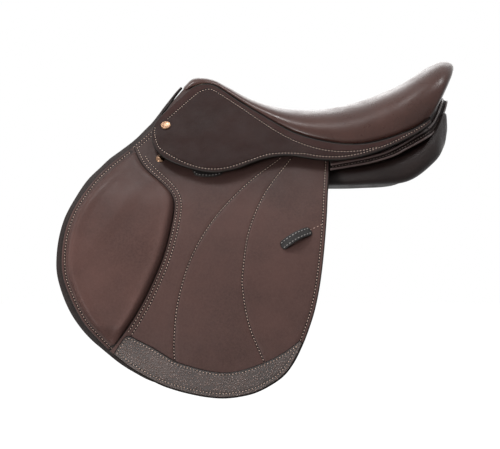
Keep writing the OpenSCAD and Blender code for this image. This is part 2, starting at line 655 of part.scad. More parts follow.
// Panel: a cushion through four-cornered sections, slanted along the points and flat at the rear.
// Each section gives its place along the panel, then top inner, top outer, base outer and base inner corners,
// each as a share of the half width inside the tree's wall and a share of the panel's height.
// Its rear end keeps its place under the cantle.
panel_set_in = 18.15;
panel_x0 = seat_x0 + seat_l - panel_set_in - panel_l;
panel_h = 104;
panel_place_shares = [0, 0.02, 0.15, 0.36, 0.57, 0.72, 0.86, 0.95, 0.99, 1];
panel_corner_shares = [
    [[0.75, 0.85], [0.92, 0.9], [0.84, -0.25], [0.75, -0.3]],
    [[0.48, 0.84], [0.87, 0.95], [0.93, -0.4], [0.76, -0.48]],
    [[0.47, 0.82], [0.83, 0.96], [0.95, -0.28], [0.745, -0.36]],
    [[0.44, 0.76], [0.85, 0.86], [0.97, 0], [0.67, -0.05]],
    [[0.37, 0.6], [0.98, 0.4], [0.945, 0], [0.46, 0.09]],
    [[0.35, 0.59], [1.02, 0.34], [0.93, 0.02], [0.39, 0.13]],
    [[0.385, 0.74], [1.06, 0.575], [0.91, 0.09], [0.36, 0.22]],
    [[0.455, 0.94], [1.18, 0.875], [0.895, 0.34], [0.33, 0.42]],
    [[0.525, 1.02], [1.21, 1], [0.855, 0.58], [0.38, 0.62]],
    [[0.57, 0.98], [0.955, 0.96], [0.79, 0.74], [0.475, 0.76]]];
panel_rings = 22;
panel_sides = 16;
panel_round_share = 0.62;
function round_part(a) = sign(a) * pow(abs(a), panel_round_share);
function panel_corner(v, k) = on_curve([for (c = panel_corner_shares) c[k]], v);
function panel_point(v, a) =
    let (s = (1 + round_part(cos(a))) / 2, t = (1 + round_part(sin(a))) / 2,
         top = panel_corner(v, 0) * (1 - s) + panel_corner(v, 1) * s,
         base = panel_corner(v, 3) * (1 - s) + panel_corner(v, 2) * s, p = base * (1 - t) + top * t,
         x = panel_x0 + panel_l * on_curve([for (q = panel_place_shares) [q, 0]], v)[0], z = p[1] * panel_h)
    [x, p[0] * wall_y(x, z, tree_r0), z];
module panel() color(dark_brown) loft([for (i = [0:panel_rings])
    [for (k = [0:panel_sides - 1]) panel_point(i / panel_rings, full_turn * k / panel_sides)]]);

// Band round the top of the panel: a smooth roll over a sewn one, meeting at the rear
band_shares = [[0.6, 0.3], [0.68, 0.34], [0.76, 0.42], [0.84, 0.535], [0.91, 0.68], [0.962, 0.86]];
band_r = barrel_r - panel_roll_r;
band_back_shares = [[0.9867, 0.73, 1.136], [0.9967, 0.39, 1.172], [1.0007, 0.007, 1.181]];
cantle_y = wall_y(panel_x0 + panel_l, panel_h, barrel_r);
band_steps = 26;
band_step_shares = [0.9, -2.4];
function band_path(row) =
    let (dx = row * band_step_shares[0] * panel_roll_r, dz = row * band_step_shares[1] * panel_roll_r)
    curve(concat(
        [for (s = band_shares) on_wall([panel_x0 + s[0] * panel_l + dx, s[1] * panel_h + dz], band_r)],
        [for (s = band_back_shares) [panel_x0 + s[0] * panel_l + dx, s[1] * cantle_y, s[2] * panel_h + dz]]),
        band_steps);
module panel_band() color(dark_brown) {
    cord(band_path(0), panel_roll_r);
    cord(band_path(1), panel_roll_r);
}

// Cantle facing: leather behind the cantle, down to the band
facing_t = 3;
facing_cols = [2, 18];
module cantle_facing() color(brown) {
    rows = rows_at(seat_rows - 1, seat_rows);
    face = -gap - facing_t;
    slab(seat_grid(rows, facing_cols, face, face), seat_grid(rows, facing_cols, -gap, -gap));
}

// Roll round the front of the pommel, over the head of the tree
pommel_shares = [[-0.19, 0.07], [-0.145, 0.21], [-0.096, 0.383], [-0.06, 0.52]];
pommel_top_shares = [[-0.022, 0.655], [-0.013, 0.671]];
pommel_top_half_w = 9;
pommel_steps = 14;
pommel_r = sweat_r1 - sweat_t / 2;
function on_pommel(s, y) = [seat_x0 + s[0] * seat_l, y, seat_rise + s[1] * seat_h];
function pommel_side() = concat(
    [for (s = pommel_shares) on_wall([seat_x0 + s[0] * seat_l, seat_rise + s[1] * seat_h], pommel_r)],
    [on_pommel(pommel_top_shares[0], -pommel_top_half_w)]);
function pommel_path() = curve(concat(pommel_side(), [on_pommel(pommel_top_shares[1], 0)],
    [for (p = reversed(pommel_side())) [p[0], -p[1], p[2]]]), 2 * pommel_steps);
module pommel_roll() color(dark_brown) cord(pommel_path(), pommel_roll_r);

tree();
cantle_board();
head_plate();
spring();  // spring_left
off_side() spring();  // spring_right
seat_web();
seat_foam();
seat_cover();
seat_welt();  // seat_welt_left
off_side() seat_welt();  // seat_welt_right
skirt();  // skirt_left
off_side() skirt();  // skirt_right
skirt_lobe();  // skirt_lobe_left
off_side() skirt_lobe();  // skirt_lobe_right
skirt_nails();
stirrup_bar();  // stirrup_bar_left
off_side() stirrup_bar();  // stirrup_bar_right
bar_catch();  // bar_catch_left
off_side() bar_catch();  // bar_catch_right
catch_pin();  // catch_pin_left
off_side() catch_pin();  // catch_pin_right
bar_rivets();
flap_head();  // flap_head_left
off_side() flap_head();  // flap_head_right
flap();  // flap_left
off_side() flap();  // flap_right
knee_pad();  // knee_pad_left
off_side() knee_pad();  // knee_pad_right
wear_strip();  // wear_strip_left
off_side() wear_strip();  // wear_strip_right
leather_keeper();  // leather_keeper_left
off_side() leather_keeper();  // leather_keeper_right
bar_guard();  // bar_guard_left
off_side() bar_guard();  // bar_guard_right
flap_stud();  // flap_stud_left
off_side() flap_stud();  // flap_stud_right
sweat_flap();  // sweat_flap_left
off_side() sweat_flap();  // sweat_flap_right
point_pocket();  // point_pocket_left
off_side() point_pocket();  // point_pocket_right
girth_web();  // girth_web_left
off_side() girth_web();  // girth_web_right
girth_strap(strap_front_x);  // girth_strap_front_left
off_side() girth_strap(strap_front_x);  // girth_strap_front_right
girth_strap(strap_rear_x);  // girth_strap_rear_left
off_side() girth_strap(strap_rear_x);  // girth_strap_rear_right
buckle_guard();  // buckle_guard_left
off_side() buckle_guard();  // buckle_guard_right
panel();  // panel_left
off_side() panel();  // panel_right
panel_band();  // panel_band_left
off_side() panel_band();  // panel_band_right
cantle_facing();
pommel_roll();
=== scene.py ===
"""Looks of a close-contact jumping saddle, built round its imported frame.

Lengths in the tables are millimetres in the part's frame: +X to the cantle, -Y the near side, +Z up.
The near side is drawn, and the off side is its mirror image.
"""
import json
import math

import bpy
import numpy as np
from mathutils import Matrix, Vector
from mathutils.geometry import delaunay_2d_cdt


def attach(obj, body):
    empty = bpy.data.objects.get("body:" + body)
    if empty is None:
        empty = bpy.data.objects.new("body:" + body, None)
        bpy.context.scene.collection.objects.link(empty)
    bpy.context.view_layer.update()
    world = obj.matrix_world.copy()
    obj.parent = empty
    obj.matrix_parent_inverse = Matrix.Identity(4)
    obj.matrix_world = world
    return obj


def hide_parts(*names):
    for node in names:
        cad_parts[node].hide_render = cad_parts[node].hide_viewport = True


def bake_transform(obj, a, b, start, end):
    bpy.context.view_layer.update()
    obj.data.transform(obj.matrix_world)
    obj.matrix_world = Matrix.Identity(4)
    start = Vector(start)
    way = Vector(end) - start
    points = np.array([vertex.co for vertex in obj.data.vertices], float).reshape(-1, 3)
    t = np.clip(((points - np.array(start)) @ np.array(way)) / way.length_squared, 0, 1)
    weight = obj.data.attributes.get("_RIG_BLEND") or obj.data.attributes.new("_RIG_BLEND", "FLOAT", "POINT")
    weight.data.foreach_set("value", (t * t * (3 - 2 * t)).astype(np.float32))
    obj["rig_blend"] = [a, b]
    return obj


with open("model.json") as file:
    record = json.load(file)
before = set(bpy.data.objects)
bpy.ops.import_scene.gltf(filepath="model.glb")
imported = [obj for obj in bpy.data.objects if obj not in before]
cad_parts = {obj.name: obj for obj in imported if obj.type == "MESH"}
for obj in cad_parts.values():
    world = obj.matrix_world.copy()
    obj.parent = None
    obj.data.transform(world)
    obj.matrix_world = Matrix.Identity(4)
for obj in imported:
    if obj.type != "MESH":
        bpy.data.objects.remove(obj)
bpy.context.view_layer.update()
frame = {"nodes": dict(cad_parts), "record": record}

bl_info = {
    "name": "Jumping saddle",
    "version": (1, 0, 0),
    "blender": (4, 5, 0),
    "location": "3D View > Sidebar > Saddle",
    "description": "Builds the leather, stitching and fittings of a jumping saddle",
    "category": "Object",
}

MM = 0.001
SIDES = (("left", 1), ("right", -1))
SEED = 7


# Properties
class SaddleSizes(bpy.types.PropertyGroup):
    """Sizes of the leather work."""

    stitch_pitch: bpy.props.FloatProperty(
        name="Stitch pitch", description="Distance between stitches along a row",
        default=0.0046, unit="LENGTH")
    stitch_length: bpy.props.FloatProperty(
        name="Stitch length", description="Length of thread that shows in each stitch",
        default=0.0024, unit="LENGTH")
    thread_radius: bpy.props.FloatProperty(
        name="Thread radius", description="Radius of the sewing thread",
        default=0.00056, unit="LENGTH")
    stitch_slant: bpy.props.FloatProperty(
        name="Stitch slant", description="Angle of each stitch to its row",
        default=math.radians(7), subtype="ANGLE")
    groove_depth: bpy.props.FloatProperty(
        name="Groove depth", description="How far a row of stitches pulls the leather in",
        default=0.0006, unit="LENGTH")
    edge_round: bpy.props.FloatProperty(
        name="Edge rounding", description="Radius of the painted leather edges",
        default=0.0014, unit="LENGTH")
    leather_cell: bpy.props.FloatProperty(
        name="Leather cell", description="Size of the mesh cells of a leather sheet",
        default=0.0065, unit="LENGTH")
    knee_pad_height: bpy.props.FloatProperty(
        name="Knee pad height", description="Height of the knee pad over the flap",
        default=0.0125, unit="LENGTH")
    solid_bevel: bpy.props.FloatProperty(
        name="Solid bevel", description="Bevel on the edges of the carried-over solids",
        default=0.0006, unit="LENGTH")
    welt_radius: bpy.props.FloatProperty(
        name="Welt radius", description="Radius of the welt between seat and skirt",
        default=0.0009, unit="LENGTH")


class SaddleColours(bpy.types.PropertyGroup):
    """Colours of the leathers, thread and fittings."""

    flap: bpy.props.FloatVectorProperty(
        name="Flap", description="Colour of flaps and knee pads",
        default=(0.066, 0.0352, 0.0304), subtype="COLOR")
    skirt: bpy.props.FloatVectorProperty(
        name="Skirt", description="Colour of the skirts",
        default=(0.0178, 0.0078, 0.0066), subtype="COLOR")
    seat: bpy.props.FloatVectorProperty(
        name="Seat", description="Colour of the seat",
        default=(0.048, 0.0202, 0.0155), subtype="COLOR")
    panel: bpy.props.FloatVectorProperty(
        name="Panel", description="Colour of panels, welts and rolls",
        default=(0.0145, 0.0082, 0.0074), subtype="COLOR")
    sweat: bpy.props.FloatVectorProperty(
        name="Sweat flap", description="Colour of the sweat flaps",
        default=(0.024, 0.018, 0.0168), subtype="COLOR")
    wear: bpy.props.FloatVectorProperty(
        name="Wear strip", description="Colour of the grained wear strips",
        default=(0.122, 0.081, 0.069), subtype="COLOR")
    keeper: bpy.props.FloatVectorProperty(
        name="Keeper", description="Colour of keepers and bar guards",
        default=(0.006, 0.0048, 0.0046), subtype="COLOR")
    strap: bpy.props.FloatVectorProperty(
        name="Strap", description="Colour of the girth straps",
        default=(0.042, 0.024, 0.017), subtype="COLOR")
    edge: bpy.props.FloatVectorProperty(
        name="Edge paint", description="Colour of the painted edges",
        default=(0.006, 0.0045, 0.004), subtype="COLOR")
    thread: bpy.props.FloatVectorProperty(
        name="Thread", description="Colour of the sewing thread",
        default=(0.60, 0.415, 0.33), subtype="COLOR")
    grey_thread: bpy.props.FloatVectorProperty(
        name="Grey thread", description="Colour of the thread on keepers and guards",
        default=(0.40, 0.38, 0.36), subtype="COLOR")
    dark_thread: bpy.props.FloatVectorProperty(
        name="Dark thread", description="Colour of the thread on panels",
        default=(0.17, 0.12, 0.10), subtype="COLOR")
    copper: bpy.props.FloatVectorProperty(
        name="Copper", description="Colour of nails and studs",
        default=(0.3, 0.178, 0.112), subtype="COLOR")


# Curves
def on_curve(points, v):
    """Points of a smooth curve through the given ones, at shares v of its length in spans."""
    p = np.asarray(points, float)
    p = np.vstack([2 * p[0] - p[1], p, 2 * p[-1] - p[-2]])
    v = np.atleast_1d(np.asarray(v, float))
    spans = len(points) - 1
    i = np.minimum((v * spans).astype(int), spans - 1)
    t = (v * spans - i)[:, None]
    a, b, c, d = p[i], p[i + 1], p[i + 2], p[i + 3]
    return (2 * b + (c - a) * t + (2 * a - 5 * b + 4 * c - d) * t ** 2 + (3 * b - a - 3 * c + d) * t ** 3) / 2


def resampled(points, step):
    """The same path with points one step apart."""
    p = np.asarray(points, float)
    run = np.concatenate([[0], np.cumsum(np.linalg.norm(np.diff(p, axis=0), axis=1))])
    n = max(int(round(run[-1] / step)), 1)
    at = np.linspace(0, run[-1], n + 1)
    return np.stack([np.interp(at, run, p[:, k]) for k in range(p.shape[1])], axis=1)


def smooth(points, step=3.0):
    """A smooth path through given points, with even steps."""
    return resampled(on_curve(points, np.linspace(0, 1, 24 * (len(points) - 1) + 1)), step)


def beside(path, distance):
    """The path moved sideways, to its left when followed with x to the right and z up."""
    p = np.asarray(path, float)
    along = np.gradient(p, axis=0)
    along /= np.linalg.norm(along, axis=1)[:, None] + 1e-9
    return p + distance * np.stack([-along[:, 1], along[:, 0]], axis=1)


def joined(*runs):
    """One closed outline from runs that meet end to end."""
    out = []
    for run in runs:
        for q in run:
            if not out or np.hypot(*(np.asarray(q) - out[-1])) > 0.05:
                out.append(np.asarray(q, float))
    if np.hypot(*(out[0] - out[-1])) < 0.05:
        out.pop()
    return np.array(out)


def closed(outline):
    """An outline with its first point again at its end."""
    return np.vstack([outline, outline[:1]])


def area_of(outline):
    """Signed area of a closed outline."""
    x, z = outline[:, 0], outline[:, 1]
    return 0.5 * np.sum(x * np.roll(z, -1) - np.roll(x, -1) * z)


def at_share(path, share):
    """Points of a path at shares of its count of points."""
    place = np.linspace(0, 1, len(path))
    return np.stack([np.interp(share, place, path[:, k]) for k in range(path.shape[1])], axis=-1)


def stretch(path, x=(-math.inf, math.inf), z=(-math.inf, math.inf)):
    """The points of a path in the side view that lie between limits."""
    return path[(path[:, 0] > x[0]) & (path[:, 0] < x[1]) & (path[:, 1] > z[0]) & (path[:, 1] < z[1])]


# Barrel: the round wall that the leathers lie on, and the radius of each one's face
BARREL_R = 597.0
BARREL_AXIS = (362.0, -300.0)
BARREL_PIVOT_X = 35.904
YAW = math.radians(4.5)
SKIRT_R = 611.0
SWEAT_R = 585.0
STRAP_R = 589.65
GUARD_R = 599.7
FRONT_R = 595.4
WEAR_R = BARREL_R + 1.9


def wall(x, z, r, depth=0.0):
    """Points on the near side's round wall of radius r, sunk by depth along its normal, and the normals."""
    x, z, r = np.broadcast_arrays(np.asarray(x, float), np.asarray(z, float), np.asarray(r, float))
    y_local = BARREL_AXIS[0] - np.sqrt(np.maximum(r ** 2 - (z - BARREL_AXIS[1]) ** 2, 1.0))
    x_local = (x - BARREL_PIVOT_X - y_local * math.sin(YAW)) / math.cos(YAW)
    y = y_local * math.cos(YAW) - x_local * math.sin(YAW)
    up = np.clip((z - BARREL_AXIS[1]) / r, -1, 1)
    out = np.sqrt(1 - up ** 2)
    normal = np.stack([-out * math.sin(YAW), -out * math.cos(YAW), up], axis=-1)
    return np.stack([x, y, z], axis=-1) - normal * np.asarray(depth, float)[..., None], normal


# Meshes
def new_object(name, verts, faces, materials, marks=None, **notes):
    """A piece at the origin from points in millimetres; notes keep one number a point for the materials."""
    mesh = bpy.data.meshes.new(name)
    mesh.from_pydata((np.asarray(verts, float) * MM).tolist(), [], [list(map(int, f)) for f in faces])
    for material in materials:
        mesh.materials.append(material)
    if marks is not None:
        mesh.polygons.foreach_set("material_index", np.asarray(marks, np.int32))
    mesh.polygons.foreach_set("use_smooth", np.ones(len(mesh.polygons), bool))
    for label, values in notes.items():
        mesh.attributes.new(label, "FLOAT", "POINT").data.foreach_set("value", np.asarray(values, np.float32))
    mesh.update()
    piece = bpy.data.objects.new(name, mesh)
    bpy.context.scene.collection.objects.link(piece)
    return piece


def mirrored(verts, faces, side):
    """The mesh of one side: as drawn, or turned over for the off side."""
    if side > 0:
        return verts, faces
    return np.asarray(verts) * [1, -1, 1], [list(reversed(f)) for f in faces]


def grid_faces(rows, cols, start=0, wrap=False):
    """Quads of a grid of points, row by row."""
    last = cols if wrap else cols - 1
    return [[start + i * cols + j, start + i * cols + (j + 1) % cols, start + (i + 1) * cols + (j + 1) % cols,
             start + (i + 1) * cols + j] for i in range(rows - 1) for j in range(last)]


def outward(verts, faces):
    """A closed skin's points, and its faces turned outwards."""
    verts = np.asarray(verts, float)
    corners = np.array([(f[0], a, b) for f in faces for a, b in zip(f[1:-1], f[2:])])
    a, b, c = (verts[corners[:, k]] for k in range(3))
    volume = (a * np.cross(b, c)).sum()
    return verts, [list(reversed(f)) for f in faces] if volume < 0 else faces


def slab(upper, lower):
    """A closed solid between two grids of points: its points and faces."""
    rows, cols = upper.shape[:2]
    n = rows * cols
    faces = grid_faces(rows, cols) + [list(reversed(f)) for f in grid_faces(rows, cols, n)]
    loop = [i * cols for i in range(rows)] + [(rows - 1) * cols + j for j in range(1, cols)]
    loop += [i * cols + cols - 1 for i in range(rows - 2, -1, -1)] + list(range(cols - 2, 0, -1))
    faces += [[a, b, b + n, a + n] for a, b in zip(loop, loop[1:] + loop[:1])]
    return outward(np.vstack([upper.reshape(-1, 3), lower.reshape(-1, 3)]), faces)


def together(*skins):
    """Several skins as one: points and faces."""
    verts, faces = np.zeros((0, 3)), []
    for v, f in skins:
        faces += [[k + len(verts) for k in face] for face in f]
        verts = np.vstack([verts, v])
    return verts, faces


def around(sides):
    """Angles of the points of a ring."""
    return np.linspace(0, 2 * math.pi, sides, endpoint=False)


def squarer(wave, power):
    """A sine or cosine that draws a round with flatter sides."""
    return np.sign(wave) * np.abs(wave) ** power


def ringed(rings, ends=None):
    """A closed skin of rings of points, each end drawn to a point: points and faces."""
    ends = (rings[0].mean(0), rings[-1].mean(0)) if ends is None else ends
    count, sides = rings.shape[:2]
    n = count * sides
    faces = grid_faces(count, sides, wrap=True)
    faces += [[n, (j + 1) % sides, j] for j in range(sides)]
    faces += [[n + 1, n - sides + j, n - sides + (j + 1) % sides] for j in range(sides)]
    return outward(np.vstack([rings.reshape(-1, 3), *ends]), faces)


def turned(profile, place, axis, sides=40):
    """A round piece from a profile of radius and height, top centre to foot: points and faces."""
    s = np.cross(axis, [1.0, 0, 0])
    s /= np.linalg.norm(s)
    u = np.cross(axis, s)
    a = around(sides)[:, None]
    rim = np.cos(a) * s + np.sin(a) * u
    rings = np.array([place + r * rim + h * axis for r, h in profile[1:-1]])
    return ringed(rings, [place + h * axis for _, h in (profile[0], profile[-1])])


def tube(path, radius, sides=10):
    """A round cord along a path of points: points and faces."""
    p = np.asarray(path, float)
    r = np.broadcast_to(np.asarray(radius, float), (len(p),))
    t = np.gradient(p, axis=0)
    t /= np.linalg.norm(t, axis=1)[:, None]
    s = np.cross(t, [0, 0, 1.0])
    s /= np.linalg.norm(s, axis=1)[:, None] + 1e-9
    u = np.cross(s, t)
    a = around(sides)[None, :, None]
    rings = p[:, None] + r[:, None, None] * (np.cos(a) * s[:, None] + np.sin(a) * u[:, None])
    return ringed(rings, (p[0], p[-1]))


def near_path(points, path):
    """Distance of each point from a path, in the side view."""
    p, q = np.asarray(points, float), np.asarray(path, float)
    best = np.full(len(p), 1e9)
    for a, b in zip(q[:-1], q[1:]):
        d = b - a
        t = np.clip(((p - a) @ d) / (d @ d + 1e-12), 0, 1)
        best = np.minimum(best, np.linalg.norm(p - a - t[:, None] * d, axis=1))
    return best


def inside(points, outline):
    """Which points lie inside a closed outline."""
    p = np.asarray(points, float)
    hit = np.zeros(len(p), bool)
    for a, b in zip(outline, np.roll(outline, -1, axis=0)):
        if a[1] == b[1]:
            continue
        crosses = (a[1] > p[:, 1]) != (b[1] > p[:, 1])
        at = a[0] + (p[:, 1] - a[1]) / (b[1] - a[1]) * (b[0] - a[0])
        hit ^= crosses & (p[:, 0] < at)
    return hit


GROOVE_STEP, GROOVE_HALF, GROOVE_CLEAR, BORDER_CLEAR = 3.0, 1.6, 2.4, 0.8
CELL_ROW, CELL_CLEAR = 0.866, 0.45
EDGE_CUT = 0.29
LONG_OUTLINE, LONG_STEP = 400, 3.2
INSIDE_ONLY, MERGE_DISTANCE = 1, 1e-4


def leather_sheet(outline, radius, thickness, grooves=(), lift=None):
    """A leather cut to an outline in the side view and laid on the barrel.

    Returns points, faces, face marks (1 on the painted edge, 2 on its bevel) and notes for the finish: each
    point's distance from the edge as "rim", and 1 on the stitch rows as "row".
    Grooves are rows of stitching that pull the face in; lift(x, z) raises it.
    """
    sizes = bpy.context.scene.saddle_sizes
    cell, rim = sizes.leather_cell / MM, sizes.edge_round / MM
    outline = outline if area_of(outline) > 0 else outline[::-1]
    outline = joined(resampled(closed(outline), LONG_STEP)) if len(outline) > LONG_OUTLINE else outline
    along = np.roll(outline, -1, axis=0) - np.roll(outline, 1, axis=0)
    along /= np.linalg.norm(along, axis=1)[:, None] + 1e-9
    inward = np.stack([-along[:, 1], along[:, 0]], axis=1)
    border = outline + inward * rim
    n = len(border)

    points, sunk = [tuple(q) for q in border], [False] * n
    edges = [(i, (i + 1) % n) for i in range(n)]
    for groove in grooves:
        path = resampled(groove, GROOVE_STEP)
        path = path[inside(path, border)]
        if len(path):
            path = path[near_path(path, closed(border)) > BORDER_CLEAR]
        first = len(points)
        edges += [(first + k, first + k + 1) for k in range(len(path) - 1)
                  if np.hypot(*(path[k + 1] - path[k])) < 2 * GROOVE_STEP]
        flanks = [beside(path, d) if len(path) > 1 else path for d in (GROOVE_HALF, -GROOVE_HALF)]
        for row in (path, *flanks):
            points += [tuple(q) for q in row]
            sunk += [row is path] * len(row)
    low, high = outline.min(0), outline.max(0)
    rows = np.arange(low[1], high[1] + cell, cell * CELL_ROW)
    inner = np.array([(x + (k % 2) * cell / 2, z) for k, z in enumerate(rows)
                      for x in np.arange(low[0], high[0] + cell, cell)])
    inner = inner[inside(inner, border)]
    inner = inner[near_path(inner, closed(border)) > cell * CELL_CLEAR]
    for groove in grooves:
        inner = inner[near_path(inner, groove) > GROOVE_CLEAR]
    points += [tuple(q) for q in inner]
    sunk += [False] * len(inner)
    flat, _, tris, origin, _, _ = delaunay_2d_cdt(
        [Vector(q) for q in points], edges, [list(range(n))], INSIDE_ONLY, MERGE_DISTANCE)
    flat = np.array([tuple(q) for q in flat])
    pressed = np.array([any(sunk[k] for k in o) for o in origin])
    ring = np.zeros(n, int)
    for i, o in enumerate(origin):
        for k in o:
            if k < n:
                ring[k] = i

    depth = np.where(pressed, sizes.groove_depth / MM, 0.0)
    if lift is not None:
        depth = depth - lift(flat[:, 0], flat[:, 1])
    face, _ = wall(*flat.T, radius, depth)
    back, _ = wall(*flat.T, radius, thickness)
    count, deep = len(flat), thickness / rim
    steps = ((EDGE_CUT, EDGE_CUT), (0.0, 1.0), (0.0, deep - 1.0), (EDGE_CUT, deep - EDGE_CUT))
    rims = [wall(*(outline + inward * rim * s).T, radius, rim * d)[0] for s, d in steps]
    chain = [ring] + [2 * count + k * n + np.arange(n) for k in range(len(rims))] + [ring + count]
    faces = [list(t) for t in tris] + [[c + count for c in reversed(t)] for t in tris]
    marks = [0] * len(faces)
    for mark, a, b in zip((2, 2, 1, 1, 1), chain[:-1], chain[1:]):
        faces += [[a[i], b[i], b[(i + 1) % n], a[(i + 1) % n]] for i in range(n)]
        marks += [mark] * n
    reach = near_path(flat, closed(outline))
    edge = np.zeros(len(rims) * n)
    notes = {"rim": np.concatenate([reach, reach, edge]),
             "row": np.concatenate([pressed, np.zeros(count), edge])}
    return np.vstack([face, back] + rims), faces, marks, notes


STITCHES = {}
STITCH_SINK = 0.75


def sew(key, rows):
    """Keeps rows of stitches, as points and the normals that they lie on, for the stitching of one body."""
    STITCHES.setdefault(key, []).extend(rows)


def sewn(path, radius, raise_by=0.0, lift=None):
    """A row of stitches along a path in the side view."""
    p = np.asarray(path, float)
    sink = bpy.context.scene.saddle_sizes.groove_depth / MM * STITCH_SINK
    depth = np.full(len(p), sink - raise_by)
    if lift is not None:
        depth = depth - lift(p[:, 0], p[:, 1])
    return wall(p[:, 0], p[:, 1], radius, depth)


# Bend lines
def bend(front, rear, radius, above, below):
    """Where a leather starts and stops turning with its moving part, across its bend line."""
    a, _ = wall(front[0], front[1], radius)
    b, _ = wall(rear[0], rear[1], radius)
    middle = (a + b) / 2
    _, normal = wall(middle[0], middle[2], radius)
    down = np.cross(normal, b - a)
    down /= np.linalg.norm(down)
    down = down if down[2] < 0 else -down
    return (middle - down * above) * MM, (middle + down * below) * MM


FLAP_BEND = bend((-262.0, 43.8), (35.9, -21.8), BARREL_R, 8.0, 30.0)
SKIRT_BEND = bend((-223.7, 82.2), (37.1, 31.0), SKIRT_R, 6.0, 16.0)


def turn_with(piece, body, ends, side):
    """Bends a piece between the saddle and a lifting part."""
    start, end = (tuple(float(c) * m for c, m in zip(p, (1, side, 1))) for p in ends)
    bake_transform(piece, "saddle", body, start=start, end=end)


# Pieces
FINISH = {}


def cut_leather(finish):
    """Finishes of a cut piece: its face, its painted edge and the bevel between them."""
    return [FINISH[finish], FINISH["edge"], FINISH["bevel"]]


def declare(solids=()):
    """Hides the carried-over solids that a piece stands for."""
    if solids:
        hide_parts(*solids)


def across(label, skin, finish, solid):
    """A piece that lies across both sides and rides on the saddle."""
    piece = new_object(label, *skin, [FINISH[finish]])
    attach(piece, "saddle")
    declare((solid,))


def both_sides(label, skin, finishes, body, solids=(), fold=None):
    """A piece of the near side and its mirror image, each riding on its body or folding with it.

    The skin is points and faces, with or without marks and notes.
    The side's name goes where the names of bodies and solids have braces.
    """
    verts, faces, *rest = skin
    marks, notes = rest or (None, {})
    for name, side in SIDES:
        v, f = mirrored(verts, faces, side)
        piece = new_object(f"{label}_{name}", v, f, finishes, marks, **notes)
        if fold is None:
            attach(piece, body.format(name))
        else:
            turn_with(piece, body.format(name), fold, side)
        declare([solid.format(name) for solid in solids])


# Materials
NODE_COLUMNS, NODE_WIDTH, NODE_HEIGHT = 6, 220, 320
# Fineness of each texture, by the metre
FINE_SPECKS, SOFT_WAVES, CREASES, DULL_PATCHES = 330.0, 11.0, 120.0, 40.0
PEBBLES, PEBBLE_WARP, PEBBLE_CLOUDS = 430.0, 180.0, 30.0
EDGE_CLOUDS, EDGE_BUMPS, THREAD_LAY = 160.0, 420.0, 1800.0
WOOD_STREAKS, WEB_YARNS, FOAM_CELLS = 40.0, 130.0, 700.0


def feed(tree, target, inputs):
    """Links or sets the inputs of a node."""
    for key, value in inputs.items():
        if isinstance(value, bpy.types.NodeSocket):
            tree.links.new(value, target.inputs[key])
        else:
            target.inputs[key].default_value = value


def node(tree, kind, inputs=None, **settings):
    """A new node in the next place of the tree, with its settings and inputs."""
    row, column = divmod(len(tree.nodes), NODE_COLUMNS)
    made = tree.nodes.new(kind)
    made.location = (column * NODE_WIDTH, row * -NODE_HEIGHT)
    for key, value in settings.items():
        setattr(made, key, value)
    feed(tree, made, inputs or {})
    return made


def finish_base(name):
    """A new material: itself, its tree, its shader and the place on the piece."""
    material = bpy.data.materials.new(name)
    material.use_nodes = True
    tree = material.node_tree
    tree.nodes.clear()
    shader = node(tree, "ShaderNodeBsdfPrincipled")
    node(tree, "ShaderNodeOutputMaterial", {"Surface": shader.outputs["BSDF"]})
    return material, tree, shader, node(tree, "ShaderNodeTexCoord").outputs["Object"]


def noise(tree, place, scale, detail=4.0, rough=0.55, stretched=None):
    """Cloudy values, finer with scale."""
    if stretched is not None:
        place = node(tree, "ShaderNodeMapping", {"Vector": place, "Scale": stretched}).outputs["Vector"]
    inputs = {"Vector": place, "Scale": scale, "Detail": detail, "Roughness": rough}
    return node(tree, "ShaderNodeTexNoise", inputs).outputs["Fac"]


def ranged(tree, value, low, high, to_low, to_high):
    """A value taken from one range to another."""
    inputs = {"Value": value, "From Min": low, "From Max": high, "To Min": to_low, "To Max": to_high}
    return node(tree, "ShaderNodeMapRange", inputs).outputs["Result"]


def mixed(tree, share, a, b):
    """A colour between two, each given as numbers or by another node."""
    a, b = ((*end, 1.0) if isinstance(end, tuple) else end for end in (a, b))
    return node(tree, "ShaderNodeMix", {"Factor": share, "A": a, "B": b}, data_type="RGBA").outputs["Result"]


def maths(tree, operation, a, b):
    """One sum of two values."""
    return node(tree, "ShaderNodeMath", {0: a, 1: b}, operation=operation).outputs["Value"]


def bump(tree, height, strength, distance, before=None):
    """A relief, laid over the one before it."""
    under = {} if before is None else {"Normal": before}
    inputs = {"Strength": strength, "Distance": distance, "Height": height, **under}
    return node(tree, "ShaderNodeBump", inputs).outputs["Normal"]


def noted(tree, label):
    """A number that the mesh keeps at each point."""
    return node(tree, "ShaderNodeAttribute", attribute_name=label).outputs["Fac"]


def tone(colour, factor):
    """A colour made lighter or darker, by one factor or by one for each of its parts."""
    return tuple(float(min(c * f, 1.0)) for c, f in zip(colour, np.broadcast_to(factor, 3)))


def painted_row_shade(tree, base, colour):
    """The base colour, dark along the rows of stitches: partly their own dark holes, partly painted shade of
    their grooves.
    """
    return mixed(tree, ranged(tree, noted(tree, "row"), 0.0, 0.35, 0.0, 0.92), base, tone(colour, 0.12))


